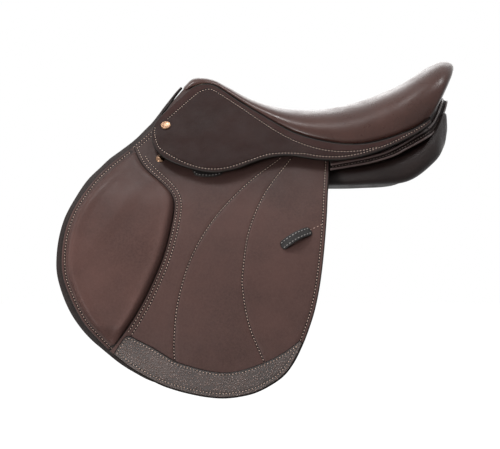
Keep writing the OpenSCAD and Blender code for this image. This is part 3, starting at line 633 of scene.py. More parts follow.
def leather(name, colour, rough=0.46, grain=1.0, pore=1500.0, mottle=14.0, gloss=0.26, rim=True, band=False,
            painted_shade_heights=None, soft=0.22):
    """Smooth calf: clouded colour, fine pores, faint creases, stitch rows darkened by their holes and by
    painted shade, and a darker burnished rim.

    Painted shade: where another piece overhangs the leather, its colour deepens upwards between the two given
    heights, standing in for that piece's shadow.
    """
    material, tree, shader, place = finish_base(name)
    cloud = ranged(tree, noise(tree, place, mottle, 6, 0.62), 0.32, 0.68, 0, 1)
    base = mixed(tree, cloud, tone(colour, 0.8), tone(colour, (1.2, 1.15, 1.13)))
    fine = ranged(tree, noise(tree, place, FINE_SPECKS, 4, 0.7), 0.35, 0.7, 0.0, 0.5)
    base = mixed(tree, fine, base, tone(colour, 1.45))
    # The band along the skirt's top edge is lighter and redder: partly its own tone, partly painted highlight
    # of its rounded, raised face
    if band:
        base = mixed(tree, noted(tree, "band"), base, tone(colour, (1.55, 1.3, 1.25)))
    # Painted shade: darker towards the top, for the shadow under the overhanging skirt
    if painted_shade_heights:
        height = node(tree, "ShaderNodeSeparateXYZ", {"Vector": place}).outputs["Z"]
        base = mixed(tree, ranged(tree, height, *painted_shade_heights, 0.0, 0.6), base, tone(colour, 0.3))
    if rim:
        burnish = ranged(tree, noted(tree, "rim"), 0.2, 1.6, 0.5, 0.0)
        # Burnished rim, then painted shade along the stitch rows
        base = painted_row_shade(tree, mixed(tree, burnish, base, tone(colour, 0.3)), colour)
    pores = node(tree, "ShaderNodeTexVoronoi", {"Vector": place, "Scale": pore}, feature="F1")
    patches = noise(tree, place, DULL_PATCHES, 6, 0.65)
    relief = bump(tree, noise(tree, place, SOFT_WAVES, 3, 0.5), soft, 0.004)
    relief = bump(tree, noise(tree, place, CREASES, 7, 0.68), 0.26 * grain, 0.001, relief)
    feed(tree, shader, {
        "Base Color": base,
        "Roughness": ranged(tree, patches, 0.3, 0.72, rough - 0.09, rough + 0.12),
        "Normal": bump(tree, pores.outputs["Distance"], 0.3 * grain, 0.0005, relief),
        "Specular IOR Level": gloss})
    return material


def grained(name, colour):
    """Hard-wearing leather with a coarse pebble, with painted highlight on the pebbles and painted shade
    between them.
    """
    material, tree, shader, place = finish_base(name)
    push = {0: noise(tree, place, PEBBLE_WARP, 3, 0.6), 1: (0.0022, 0.0022, 0.0022), 2: place}
    pushed = node(tree, "ShaderNodeVectorMath", push, operation="MULTIPLY_ADD").outputs["Vector"]
    cells = {"Vector": pushed, "Scale": PEBBLES, "Smoothness": 0.35, "Randomness": 1.0}
    pebble = node(tree, "ShaderNodeTexVoronoi", cells, feature="SMOOTH_F1")
    crown = ranged(tree, pebble.outputs["Distance"], 0.1, 0.5, 1.0, 0.0)
    # Painted highlight on the pebble crowns, painted shade in the hollows between them
    base = mixed(tree, crown, tone(colour, 0.12), tone(colour, 2.2))
    cloud = ranged(tree, noise(tree, place, PEBBLE_CLOUDS, 4, 0.6), 0.3, 0.7, 0.0, 0.22)
    feed(tree, shader, {
        "Base Color": painted_row_shade(tree, mixed(tree, cloud, base, tone(colour, 1.9)), colour),
        "Roughness": ranged(tree, crown, 0, 1, 0.55, 0.26),
        "Normal": bump(tree, crown, 0.9, 0.0015),
        "Specular IOR Level": 0.65})
    return material


def edge_paint(name, colour, rough=0.55, gloss=0.08):
    """Painted and burnished edges: dark, with slight unevenness."""
    material, tree, shader, place = finish_base(name)
    cloud = noise(tree, place, EDGE_CLOUDS, 4, 0.6)
    feed(tree, shader, {
        "Base Color": mixed(tree, cloud, tone(colour, 0.7), tone(colour, 1.6)),
        "Roughness": ranged(tree, cloud, 0.3, 0.7, rough, rough + 0.15),
        "Normal": bump(tree, noise(tree, place, EDGE_BUMPS, 3, 0.6), 0.2, 0.0005),
        "Specular IOR Level": gloss})
    return material


def thread(name, colour):
    """Waxed sewing thread with a fine lay."""
    material, tree, shader, place = finish_base(name)
    lay = noise(tree, place, THREAD_LAY, 2, 0.5)
    feed(tree, shader, {
        "Base Color": mixed(tree, lay, tone(colour, 0.72), tone(colour, 1.22)),
        "Roughness": ranged(tree, lay, 0.3, 0.7, 0.55, 0.8),
        "Normal": bump(tree, lay, 0.3, 0.0003),
        "Sheen Weight": 0.2})
    return material


def metal(name, colour, rough, scale=240.0):
    """Polished or forged metal with faint marks."""
    material, tree, shader, place = finish_base(name)
    marks = noise(tree, place, scale, 4, 0.6)
    feed(tree, shader, {
        "Base Color": mixed(tree, marks, tone(colour, 0.82), tone(colour, 1.1)),
        "Roughness": ranged(tree, marks, 0.3, 0.7, rough * 0.75, rough * 1.35),
        "Normal": bump(tree, marks, 0.12, 0.0004),
        "Metallic": 1.0})
    return material


def laminated_beech(name):
    """Beech laminate with a straight grain, stained dark and sealed."""
    material, tree, shader, place = finish_base(name)
    grain = noise(tree, place, WOOD_STREAKS, 6, 0.65, stretched=(0.4, 6.0, 6.0))
    streak = ranged(tree, grain, 0.3, 0.7, 0, 1)
    feed(tree, shader, {
        "Base Color": mixed(tree, streak, (0.048, 0.027, 0.014), (0.09, 0.053, 0.028)),
        "Roughness": ranged(tree, grain, 0.3, 0.7, 0.38, 0.55),
        "Normal": bump(tree, grain, 0.15, 0.0006)})
    return material


def woven_web(name):
    """Jute web: a plain weave of thick yarns."""
    material, tree, shader, place = finish_base(name)
    lay = {"Vector": place, "Scale": WEB_YARNS, "Distortion": 0.6}
    yarns = [node(tree, "ShaderNodeTexWave", lay, wave_type="BANDS", bands_direction=axis).outputs["Fac"]
             for axis in "XZ"]
    weave = maths(tree, "MULTIPLY", *yarns)
    feed(tree, shader, {
        "Base Color": mixed(tree, weave, (0.30, 0.24, 0.15), (0.56, 0.48, 0.34)),
        "Roughness": 0.85,
        "Normal": bump(tree, weave, 0.6, 0.0008)})
    return material


def latex_foam(name):
    """Moulded foam with fine open cells."""
    material, tree, shader, place = finish_base(name)
    cells = noise(tree, place, FOAM_CELLS, 2, 0.5)
    feed(tree, shader, {
        "Base Color": mixed(tree, cells, (0.56, 0.49, 0.33), (0.72, 0.66, 0.49)),
        "Roughness": 0.9,
        "Normal": bump(tree, cells, 0.5, 0.0006)})
    return material


def mix_finishes():
    """All finishes of the saddle, made once."""
    c = bpy.context.scene.saddle_colours
    FINISH.update(
        # Flap and knee pad get painted shade towards their tops, under the skirt
        flap=leather("flap_leather", c.flap, 0.5, gloss=0.17, painted_shade_heights=(-0.035, 0.03)),
        pad=leather("pad_leather", tone(c.flap, 1.22), 0.42, grain=0.7, gloss=0.12, painted_shade_heights=(-0.08, 0.06)),
        skirt=leather("skirt_leather", c.skirt, 0.54, mottle=18, gloss=0.11, band=True),
        seat=leather("seat_leather", c.seat, 0.3, grain=0.25, gloss=0.3, rim=False, soft=0.06),
        panel=leather("panel_leather", c.panel, 0.36, grain=1.7, gloss=0.24, rim=False),
        # Rolls: the panel leather made lighter, painted light for rolls that lie in the skirt's shadow
        roll=leather("roll_leather", tone(c.panel, 3.4), 0.34, gloss=0.5, rim=False),
        # A darker panel leather for the welts; on the band's sewn strip it is painted shade of the groove
        # between the rolls
        welt=leather("welt_leather", tone(c.panel, 0.4), 0.6, gloss=0.08, rim=False),
        sweat=leather("sweat_leather", c.sweat, 0.5, gloss=0.12),
        wear=grained("grained_leather", c.wear),
        keeper=leather("keeper_leather", c.keeper, 0.44, grain=2.2, pore=900.0, gloss=0.3, rim=False),
        strap=leather("strap_leather", c.strap, 0.48, gloss=0.2),
        edge=edge_paint("edge_paint", c.edge),
        bevel=edge_paint("edge_bevel", tone(c.edge, 2.4), 0.45, 0.18),
        thread=thread("tan_thread", c.thread),
        grey_thread=thread("grey_thread", c.grey_thread),
        dark_thread=thread("dark_thread", c.dark_thread),
        copper=metal("rose_copper", c.copper, 0.36, 420.0),
        stud=metal("stud_copper", tone(c.copper, 0.78), 0.28, 420.0),
        steel=metal("forged_steel", (0.56, 0.57, 0.58), 0.32),
        blued=metal("blued_steel", (0.07, 0.074, 0.085), 0.4),
        beech=laminated_beech("beech_laminate"),
        web=woven_web("jute_web"),
        foam=latex_foam("latex_foam"),
    )


# Outlines of the near side
FLAP_EDGE = [(-222, 88), (-243.2, 65.6), (-276.1, 39), (-297.8, 18.4), (-316.9, -6.6), (-331.6, -31),
             (-341.6, -57.9), (-345.9, -82.1), (-346.9, -106), (-344, -130.2), (-336.2, -151.9),
             (-324.8, -175.5), (-311.2, -197.4), (-295.6, -214.5), (-275.7, -233.8), (-258.1, -248.5),
             (-240.6, -261.1), (-205, -280), (-181, -288.6), (-157.9, -294.4), (-135.6, -298.3),
             (-113, -299.7), (-90.5, -297.3), (-68, -291.5), (-45.6, -280.1), (-27.6, -266.6),
             (-14.1, -248.5), (-2.8, -226), (6.1, -203.7), (15.3, -175), (22.4, -141.5), (27.3, -107.7),
             (31, -73.8), (34, -39.7), (36.3, -5.1), (39.6, 34.8)]
FLAP_TOP = [(39.6, 34.8), (39.8, 48), (-13, 70), (-60, 93), (-100, 109), (-150, 117), (-196, 117), (-222, 88)]
SKIRT_FRONT = [(-163, 151.5), (-168.3, 146.3), (-180.6, 134), (-193, 121.4), (-205, 109), (-214.6, 97.4),
               (-219.2, 88), (-220.9, 77.2), (-218.8, 65.7), (-213.8, 55.7), (-205.4, 46), (-192.7, 37.8),
               (-175, 30.6), (-155.9, 24.9), (-139.8, 21.6), (-124.1, 20.7), (-108.5, 23.2), (-92.7, 27),
               (-77, 33.4), (-61.5, 39), (-45.5, 43.1), (-29.8, 45.2), (-13.9, 45), (2.7, 42.4), (20.3, 39.8),
               (37.7, 38.6), (53.4, 38.8), (67.2, 40.3), (81, 42.9), (95, 46.6), (109, 51.2), (123, 56.7),
               (140.2, 64.4), (153.4, 71.2), (166.6, 78.2), (179.8, 86.9), (188.3, 94)]
SKIRT_TOP = [(188.3, 94), (187.8, 99.5), (181.2, 95.6), (162.8, 85), (144.6, 77.6), (126.6, 71.2),
             (108.9, 66.2), (91.1, 62.9), (73.5, 62), (56, 63), (38.5, 65.4), (21, 69.2), (3.3, 74.2),
             (-13.3, 80.6), (-29.2, 89), (-45, 98.6), (-61.2, 108.8), (-77, 118.8), (-93.2, 129.2),
             (-109.6, 141.4), (-124, 151.4), (-133, 155.6), (-143, 156.8), (-152.4, 156), (-163, 151.5)]
SKIRT_HIGH = [(-197.1, 100.8), (-177, 120.1), (-158.1, 138.1), (-148.4, 144.8), (-137.4, 147.9),
              (-125.6, 143), (-93, 120.6), (-61.3, 97.6), (-29.6, 76.7), (-3.3, 63.5), (19.7, 55.9),
              (40, 51.9), (60, 50.6), (80, 51.6), (95, 54), (106.6, 56.8)]
SKIRT_LOW = [(-215.8, 87), (-216.1, 77.9), (-210.4, 60.1), (-200.3, 50.6), (-171.7, 34.9), (-139.6, 25.9),
             (-108.4, 27.4), (-77.4, 37.6), (-45.6, 47.5), (-3.6, 48.2), (20, 44.6), (37.4, 43.2), (58, 43.5),
             (75.9, 46.2), (94.5, 50.8), (108, 55.4), (127.3, 62.6), (151.4, 75), (173.2, 87.6), (181, 93.2)]
SWEAT_EDGE = [(-191, 139.5), (-195.1, 134.5), (-203.3, 122.6), (-210, 112.3), (-220.2, 98), (-230.5, 88.3),
              (-248.6, 69.9), (-268.5, 53.8), (-283, 42.6), (-296, 29.6), (-314.9, 9.7), (-331.8, -17.7),
              (-344.8, -44.5), (-352.1, -73.4), (-354.6, -102), (-352.9, -126.3), (-345.2, -152.4),
              (-333.4, -178.5), (-318.8, -200.1), (-303, -217.5), (-285.3, -232.5), (-262, -251),
              (-240.5, -264.4), (-215, -277), (-180, -286.5), (-146, -290.5), (-113, -288.5), (-82, -279),
              (-54, -260), (-30, -230), (-12, -190), (-2, -150), (10, -80), (16, -10), (17, 38)]
SWEAT_TOP = [(17, 38), (-17, 45), (-62, 50.5), (-109, 49.5), (-152, 41), (-176, 22.5), (-202, 14.7),
             (-224.8, 16.7), (-229.6, 34.2), (-226.5, 55), (-220, 76), (-213, 96), (-207.8, 110.4),
             (-200.3, 121.4), (-194.8, 129.5), (-191, 139.5)]
POMMEL_COVER = [(-171, 157), (-175.9, 149.5), (-185.5, 137.2), (-193.7, 126.5), (-200.4, 115.9),
                (-207.2, 107.7), (-212.6, 99.5), (-217, 91), (-204, 86), (-190, 100), (-174, 118),
                (-158, 140), (-156, 152)]
COVER_R, COVER_BEND = 606.4, 7
WEAR_TOP = [(-268.5, -237.5), (-260.5, -224.5), (-249.4, -212.2), (-232, -219.4), (-214.9, -227.6),
            (-197, -238.4), (-180.7, -247.6), (-158, -254.9), (-135.6, -260.3), (-113, -262.8), (-90.5, -260),
            (-68, -253), (-45.6, -243.6), (-23, -230.4), (-6.6, -217.5)]
PAD_SEAM = [(-247.5, 61.5), (-246.2, 56.5), (-244, 51.4), (-237.4, 38), (-229.7, 27.4), (-217.7, 15.6),
            (-205.6, 5), (-195.1, -5.3), (-188.9, -14.2), (-185.8, -24.6), (-186.1, -36.2), (-188.3, -50.9),
            (-193.5, -76), (-199.6, -98.6), (-207.3, -119.3), (-216.3, -140.1), (-226, -160.8),
            (-239.6, -185.2), (-254.8, -208.7), (-265.4, -222.8), (-275.4, -234.2)]
FLAP_LINE_FRONT = [(-32.8, 41), (-79.3, 4.5), (-125.3, -44.2), (-159.1, -101.2), (-177.9, -164.4),
                   (-183.2, -220.4), (-182, -248)]
FLAP_LINE_REAR = [(-17.6, 39.8), (-54, -9.4), (-77, -62.5), (-86.1, -121.5), (-86.1, -148.4), (-77, -197.6),
                  (-55.7, -249)]
BAR_GUARD = [(-162, 48), (-160.5, 24), (-156, 16.5), (-143.3, 14.2), (-127.5, 14.6), (-117, 18), (-113.5, 25),
             (-112, 48)]


def flap_face_lift(x, z):
    """Faint hand-worked unevenness of the flap."""
    return 0.35 * np.sin(x / 47.0 + 0.6) * np.sin(z / 61.0 + 1.1) + 0.2 * np.sin(x / 23.0 - z / 31.0)


FLAP_MID_X = -115.0
FOOT_FROM_X, HEAD_FROM_Z, FRONT_TO_X, FRONT_FROM_Z = -272, 64, -243, -234
TUCK, TUCK_Z = 10.0, (-226, 48)


def flap_outlines():
    """Main leather, from the pad's seam to the rear, and the front leather that passes under it."""
    edge, seam = smooth(FLAP_EDGE), smooth(PAD_SEAM)
    foot = stretch(edge[len(edge) // 5 + 1:], x=(FOOT_FROM_X, math.inf))
    head = stretch(edge, z=(HEAD_FROM_Z, math.inf))
    main = joined(seam, foot, resampled(FLAP_TOP, 5.0), head)
    front = stretch(edge, x=(-math.inf, FRONT_TO_X), z=(FRONT_FROM_Z, math.inf))
    tuck = stretch(beside(seam, TUCK), z=TUCK_Z)
    return main, joined(front, tuck[::-1])


# Distances of the rows from the edge and the pad's seam, and the heights between which they run
EDGE_ROW, SEAM_ROW, SECOND_SEAM_ROW, BROW_ROW_GAP, SEAM_TOP_Z = 5.6, 4.6, 10.6, 5.0, 58
FLAP_ROW_Z = {"front": (-231, 52), "rear": (-222, 36), "near": (-208, math.inf), "far": (-211, 46)}
BROW = [(-246.5, 59.5), (-235.5, 69), (-222, 81.5)]


def flap_rows():
    """Rows of stitches on the flap, in the side view."""
    inset = beside(smooth(FLAP_EDGE, 3.2), EDGE_ROW)
    seam = stretch(smooth(PAD_SEAM), z=(-math.inf, SEAM_TOP_Z))
    brow = smooth(BROW)
    runs = {"front": stretch(inset, x=(-math.inf, FLAP_MID_X)),
            "rear": stretch(inset, x=(FLAP_MID_X, math.inf)),
            "near": beside(seam, SEAM_ROW), "far": beside(seam, SECOND_SEAM_ROW)}
    return {**{label: stretch(run, z=FLAP_ROW_Z[label]) for label, run in runs.items()},
            "brow": brow, "brow_low": beside(brow, -BROW_ROW_GAP)[2:],
            "line_front": smooth(FLAP_LINE_FRONT), "line_rear": smooth(FLAP_LINE_REAR)}


def skirt_rows():
    """Rows of stitches on the skirt: one inside its front and top edge, one along its foot."""
    return {"low": smooth(SKIRT_LOW), "high": smooth(SKIRT_HIGH)}


# Seat surface
CROWN = [(-176, 153.3), (-162.9, 165.6), (-146.5, 167), (-128, 162.9), (-109.9, 153.4), (-69.1, 132.3),
         (-20.1, 120.6), (34.1, 121), (89.2, 133), (143.9, 154.5), (181.1, 176.8), (205.2, 189.2),
         (221.9, 191.2), (230.5, 183.4), (225.4, 166), (212.8, 138.5)]
SEAM = [(-171.9, 147), (-160, 153.5), (-143, 157.6), (-127, 154.2), (-109.9, 143), (-69.1, 115),
        (-12.7, 81.7), (38.3, 66.8), (84, 63.4), (127.2, 72.8), (155, 83), (172.1, 91.2), (179.6, 96.2),
        (184, 99), (186.4, 101), (188, 102.6)]
SEAM_R, HEAD_NARROWING, HEAD_SHARE = 609.5, 2.5, 0.093
CROSS_POWER, SLOPE_STEP = 0.84, 0.004
# Depth of the place for the rider, its middle along the seat, and its reach along and across
DIP, DIP_AT, DIP_LONG, DIP_WIDE = 2.2, 0.505, 0.187, 0.32


def seat_points(v, u, depth=0.0, edge=0.0):
    """Points of the seat at shares v from pommel to cantle and u across it, sunk by depth."""
    v, u = np.broadcast_arrays(np.asarray(v, float), np.asarray(u, float))
    shape = v.shape
    v, u = v.ravel(), u.ravel()
    c, e = on_curve(CROWN, v), on_curve(SEAM, v)
    d = on_curve(CROWN, np.minimum(v + SLOPE_STEP, 1)) - on_curve(CROWN, np.maximum(v - SLOPE_STEP, 0))
    d /= np.linalg.norm(d, axis=1)[:, None]
    c = c - np.stack([-d[:, 1], d[:, 0]], axis=1) * depth
    radius = SEAM_R - HEAD_NARROWING * np.clip(1 - v / HEAD_SHARE, 0, 1)
    w = -wall(e[:, 0], e[:, 1], radius)[0][:, 1] - edge
    a = np.cos(np.pi / 2 * np.abs(u)).clip(0) ** CROSS_POWER
    b = np.sign(u) * np.sin(np.pi / 2 * np.abs(u)) ** CROSS_POWER
    points = [e[:, 0] + (c[:, 0] - e[:, 0]) * a, w * b, e[:, 1] + (c[:, 1] - e[:, 1]) * a]
    return np.stack(points, axis=1).reshape(*shape, 3)


def seat_dip(v, u):
    """How far the rider's place is pressed in."""
    return DIP * np.exp(-((v - DIP_AT) / DIP_LONG) ** 2) * np.exp(-(u / DIP_WIDE) ** 2)


# Operators, each with its sizes before it
CAMERA_PLACE, CAMERA_SENSOR, CAMERA_LENS = (-0.076, -3.0, -0.055), 36.0, 142.3
FLOOR_Z, FLOOR_REACH = -420.0, 6000.0
WORLD_LIGHT, WORLD_SEEN = 0.3, 1.0
FLOOR_GREY, FLOOR_SEEN, FLOOR_GLOW, GLOW_SHARE, FLOOR_GLOSS = 0.3, 0.8, 1.15, 0.86, 0.2
# Name, place, aim, size and watts of each lamp
LAMPS = (("left_lamp", (-1.1, -0.7, 2.7), (-0.1, 0, -0.05), 0.7, 52.0),
         ("right_lamp", (1.05, -0.8, 2.65), (0, 0, -0.05), 0.7, 24.0),
         ("low_lamp", (-1.7, -2.0, -0.22), (-0.15, 0, -0.25), 0.7, 44.0),
         ("back_lamp", (0.2, 1.9, 0.9), (0, 0, 0), 1.4, 10.0))


def seen_ray(tree, gloss=1.0):
    """One for the rays that show the pale studio, straight on or through glass, and a share in gloss."""
    ray = node(tree, "ShaderNodeLightPath").outputs
    both = maths(tree, "MAXIMUM", ray["Is Camera Ray"], maths(tree, "MULTIPLY", ray["Is Glossy Ray"], gloss))
    return maths(tree, "MAXIMUM", both, ray["Is Transmission Ray"])


class SADDLE_OT_stage(bpy.types.Operator):
    """Sets the pale floor, the soft lamps and the camera at the photograph's place."""

    bl_idname = "saddle.stage"
    bl_label = "Stage"

    def execute(self, context):
        scene = context.scene
        scene.view_settings.view_transform = "Standard"
        camera = bpy.data.objects.new("camera", bpy.data.cameras.new("camera"))
        camera.location = CAMERA_PLACE
        camera.rotation_euler = (math.pi / 2, 0, 0)
        camera.data.sensor_width, camera.data.lens = CAMERA_SENSOR, CAMERA_LENS
        scene.collection.objects.link(camera)
        scene.camera = camera
        material, tree, shader, _ = finish_base("pale_floor")
        seen = seen_ray(tree, FLOOR_GLOSS)
        pale = mixed(tree, seen, (FLOOR_GREY,) * 3, (FLOOR_SEEN,) * 3)
        feed(tree, shader, {"Base Color": pale, "Roughness": 0.9})
        glow = node(tree, "ShaderNodeEmission", {"Strength": FLOOR_GLOW})
        share = maths(tree, "MULTIPLY", seen, GLOW_SHARE)
        lit = node(tree, "ShaderNodeMixShader",
                   {"Fac": share, 1: shader.outputs["BSDF"], 2: glow.outputs["Emission"]})
        feed(tree, tree.nodes["Material Output"], {"Surface": lit.outputs["Shader"]})
        verts = [(x, y, FLOOR_Z) for y in (-FLOOR_REACH, FLOOR_REACH) for x in (-FLOOR_REACH, FLOOR_REACH)]
        floor = new_object("floor", verts, grid_faces(2, 2), [material])
        world = bpy.data.worlds.new("studio")
        scene.world = world
        world.use_nodes = True
        tree = world.node_tree
        strength = ranged(tree, seen_ray(tree), 0, 1, WORLD_LIGHT, WORLD_SEEN)
        feed(tree, tree.nodes["Background"], {"Color": (1, 1, 1, 1), "Strength": strength})
        for name, place, aim, size, watts in LAMPS:
            lamp = bpy.data.objects.new(name, bpy.data.lights.new(name, "AREA"))
            lamp.data.size, lamp.data.energy = size, watts
            lamp.location = place
            lamp.rotation_euler = (Vector(aim) - Vector(place)).to_track_quat("-Z", "Y").to_euler()
            scene.collection.objects.link(lamp)
        return {"FINISHED"}


FLAP_THICK, FLAP_FRONT_THICK = 4.0, 2.2


class SADDLE_OT_flaps(bpy.types.Operator):
    """Cuts the flaps, presses in their stitch rows and bends each between the saddle and its lifting part."""

    bl_idname = "saddle.flaps"
    bl_label = "Flaps"

    def execute(self, context):
        rows = flap_rows()
        border = rows.pop("front")
        main, front = flap_outlines()
        sheet = leather_sheet(main, BARREL_R, FLAP_THICK, list(rows.values()), flap_face_lift)
        both_sides("flap_leather", sheet, cut_leather("flap"), "flap_{}",
                   ("flap_{}", "flap_head_{}"), FLAP_BEND)
        sheet = leather_sheet(front, FRONT_R, FLAP_FRONT_THICK, [border])
        both_sides("flap_front_leather", sheet, cut_leather("flap"), "flap_{}",
                   fold=FLAP_BEND)
        sew("flap", [sewn(path, BARREL_R, lift=flap_face_lift) for path in rows.values()])
        sew("flap", [sewn(border, FRONT_R)])
        return {"FINISHED"}


def quarter_round(distance, radius):
    """A rounded shoulder: 0 at its foot and 1 past its radius."""
    return np.sqrt(np.clip(1 - (1 - np.clip(distance / radius, 0, 1)) ** 2, 0, 1))


def eased(value):
    """A share that starts and stops gently."""
    value = np.clip(value, 0, 1)
    return value * value * (3 - 2 * value)


PAD_INSET, PAD_STEP, PAD_FRONT_Z, PAD_SEAM_Z = 10.5, 2.5, (-221, 47), (-226, 50)
PAD_BACK, PAD_CREASE, PAD_FOLD_RISE, PAD_FOLD_WIDTH = 0.6, 0.3, 0.9, 12.0
PAD_ROWS, PAD_COLS, PAD_STEPS = 132, 56, 130
PAD_FRONT_ROUND, PAD_HEAD_ROUND, PAD_SEAM_ROUND = 7, 21, 8.5
PAD_FOLD = np.array([(-236.0, 2.0), (-262.0, -40.0), (-296.0, -82.0), (-318.0, -110.0)])


def pad_surface(front, seam):
    """Places of the knee pad in the side view and its height there, as shares: rolled along the front,
    steep at the seam and a little dished between them."""
    v, t = np.meshgrid(np.linspace(0, 1, PAD_ROWS), np.linspace(0, 1, PAD_COLS), indexing="ij")
    a, b = at_share(front, v), at_share(seam, v)
    t = 0.5 - 0.5 * np.cos(np.pi * t) * (0.35 * np.sin(np.pi * t) ** 2 + 1)
    wide = np.linalg.norm(b - a, axis=-1)
    widest = 0.46 * wide + 0.1
    turn_front = np.minimum(PAD_FRONT_ROUND + PAD_HEAD_ROUND * (1 - v) ** 3, widest)
    turn_seam = np.minimum(PAD_SEAM_ROUND, widest)
    from_front, from_seam = t * wide, (1 - t) * wide
    roll, drop = quarter_round(from_front, turn_front), quarter_round(from_seam, turn_seam)
    ends = (0.12 + 0.88 * eased(v / 0.34)) * (1 - 0.75 * eased((v - 0.9) / 0.1))
    dish = 1 - 0.1 * eased((from_front - turn_front * 0.8) / 15) * eased((from_seam - turn_seam * 0.8) / 11)
    return a + (b - a) * t[..., None], ends * roll * drop * dish


class SADDLE_OT_knee_pads(bpy.types.Operator):
    """Moulds the knee pads into the front leather: rolled at the front and steep along their seam."""

    bl_idname = "saddle.knee_pads"
    bl_label = "Knee pads"

    def execute(self, context):
        height = context.scene.saddle_sizes.knee_pad_height / MM
        inset = beside(smooth(FLAP_EDGE, PAD_STEP), PAD_INSET)
        front = stretch(inset, x=(-math.inf, FLAP_MID_X), z=PAD_FRONT_Z)
        seam = stretch(smooth(PAD_SEAM, PAD_STEP), z=PAD_SEAM_Z)
        front, seam = (resampled(p, np.linalg.norm(np.diff(p, axis=0), axis=1).sum() / PAD_STEPS)
                       for p in (front, seam))
        place, share = pad_surface(front, seam)
        x, z, spots = place[..., 0], place[..., 1], place.reshape(-1, 2)
        crease = PAD_CREASE * np.sin(x / 13.0 - z / 26.0) * np.sin(z / 31.0)
        fold = near_path(spots, PAD_FOLD).reshape(share.shape)
        crease += PAD_FOLD_RISE * np.exp(-(fold / PAD_FOLD_WIDTH) ** 2)
        face, _ = wall(x, z, FRONT_R, -(0.05 + height * share + crease * share))
        back, _ = wall(x, z, FRONT_R, np.full(share.shape, PAD_BACK))
        reach = np.minimum(near_path(spots, seam), near_path(spots, front) + 2.0)
        skin = (*slab(face, back), None, {"rim": np.concatenate([reach, reach]) * 1.2})
        both_sides("knee_pad_leather", skin, [FINISH["pad"]], "flap_{}", ("knee_pad_{}",),
                   FLAP_BEND)
        return {"FINISHED"}


WEAR_INSET, WEAR_THICK, WEAR_FRONT_X, WEAR_HEAD_Z = 1.2, 1.7, -269, -219
WEAR_HIGH_ROW, WEAR_HIGH_X, WEAR_LOW_ROW, WEAR_LOW_X = 3.6, (-264, -10), 6.0, (-259, -11)


class SADDLE_OT_wear_strips(bpy.types.Operator):
    """Sews the grained wear strips along the feet of the flaps."""

    bl_idname = "saddle.wear_strips"
    bl_label = "Wear strips"

    def execute(self, context):
        foot = beside(smooth(FLAP_EDGE), WEAR_INSET)
        foot = stretch(foot, x=(WEAR_FRONT_X, math.inf), z=(-math.inf, WEAR_HEAD_Z))
        top = smooth(WEAR_TOP)
        rows = [stretch(beside(top, -WEAR_HIGH_ROW), x=WEAR_HIGH_X),
                stretch(beside(foot, WEAR_LOW_ROW), x=WEAR_LOW_X)]
        sheet = leather_sheet(joined(top, foot[::-1]), WEAR_R, WEAR_THICK, rows)
        both_sides("wear_strip_leather", sheet, cut_leather("wear"), "flap_{}",
                   ("wear_strip_{}",))
        sew("flap", [sewn(path, WEAR_R) for path in rows])
        return {"FINISHED"}


SKIRT_THICK, SKIRT_BAND_FADE, SKIRT_BAND_END = 4.2, 4.0, 150
SKIRT_FALL, SKIRT_FALL_WIDTH = 1.1, 9.0
SKIRT_SWELL, SWELL_AT, SWELL_REACH = 1.6, (-150, 82), (62, 42)


def skirt_face_lift(x, z):
    """The skirt dips to its top seam and swells a little over the stirrup bar."""
    path = np.array(SKIRT_TOP[1:])[::-1]
    top = np.interp(x, path[:, 0], path[:, 1])
    fall = np.clip(1 - (top - z) / SKIRT_FALL_WIDTH, 0, 1)
    swell = np.exp(-(((x - SWELL_AT[0]) / SWELL_REACH[0]) ** 2 + ((z - SWELL_AT[1]) / SWELL_REACH[1]) ** 2))
    return SKIRT_SWELL * swell - SKIRT_FALL * fall ** 2


class SADDLE_OT_skirts(bpy.types.Operator):
    """Cuts the skirts, presses in their stitch rows and bends each over its stirrup bar."""

    bl_idname = "saddle.skirts"
    bl_label = "Skirts"

    def execute(self, context):
        outline = joined(smooth(SKIRT_FRONT), smooth(SKIRT_TOP))
        rows = skirt_rows()
        sheet = leather_sheet(outline, SKIRT_R, SKIRT_THICK, list(rows.values()), skirt_face_lift)
        verts, notes = sheet[0], sheet[3]
        # Band outside the top row of stitches: lighter and redder, partly painted highlight
        line = np.interp(verts[:, 0], *rows["high"].T)
        above = np.clip((verts[:, 2] - line + SKIRT_BAND_FADE / 2) / SKIRT_BAND_FADE, 0, 1)
        notes["band"] = above * (verts[:, 0] < SKIRT_BAND_END)
        both_sides("skirt_leather", sheet, cut_leather("skirt"), "skirt_lobe_{}",
                   ("skirt_{}", "skirt_lobe_{}"), SKIRT_BEND)
        sew("skirt", [sewn(path, SKIRT_R, lift=skirt_face_lift) for path in rows.values()])
        return {"FINISHED"}


SEAT_THICK, SEAT_GRID = 2.0, (96, 60)
FOAM_GAP, FOAM_THICK, FOAM_SPAN, FOAM_HALF, FOAM_GRID = 0.4, 10.6, (0.012, 0.95), 0.97, (60, 36)
SEAT_LIP = np.array([[[1.5, 0, -15.0]], [[-0.6, 0, -7.0]], [[-0.9, 0, -2.2]]])


def seat_layers(span, half, grid, depths):
    """Layers of the seat over shares of its length and half width, sunk by depths and pressed in."""
    v, u = np.meshgrid(np.linspace(*span, grid[0]), np.linspace(-half, half, grid[1]), indexing="ij")
    dip = seat_dip(v, u)[..., None] * np.array([0, 0, 1])
    return [seat_points(v, u, depth, depth) - dip for depth in depths]


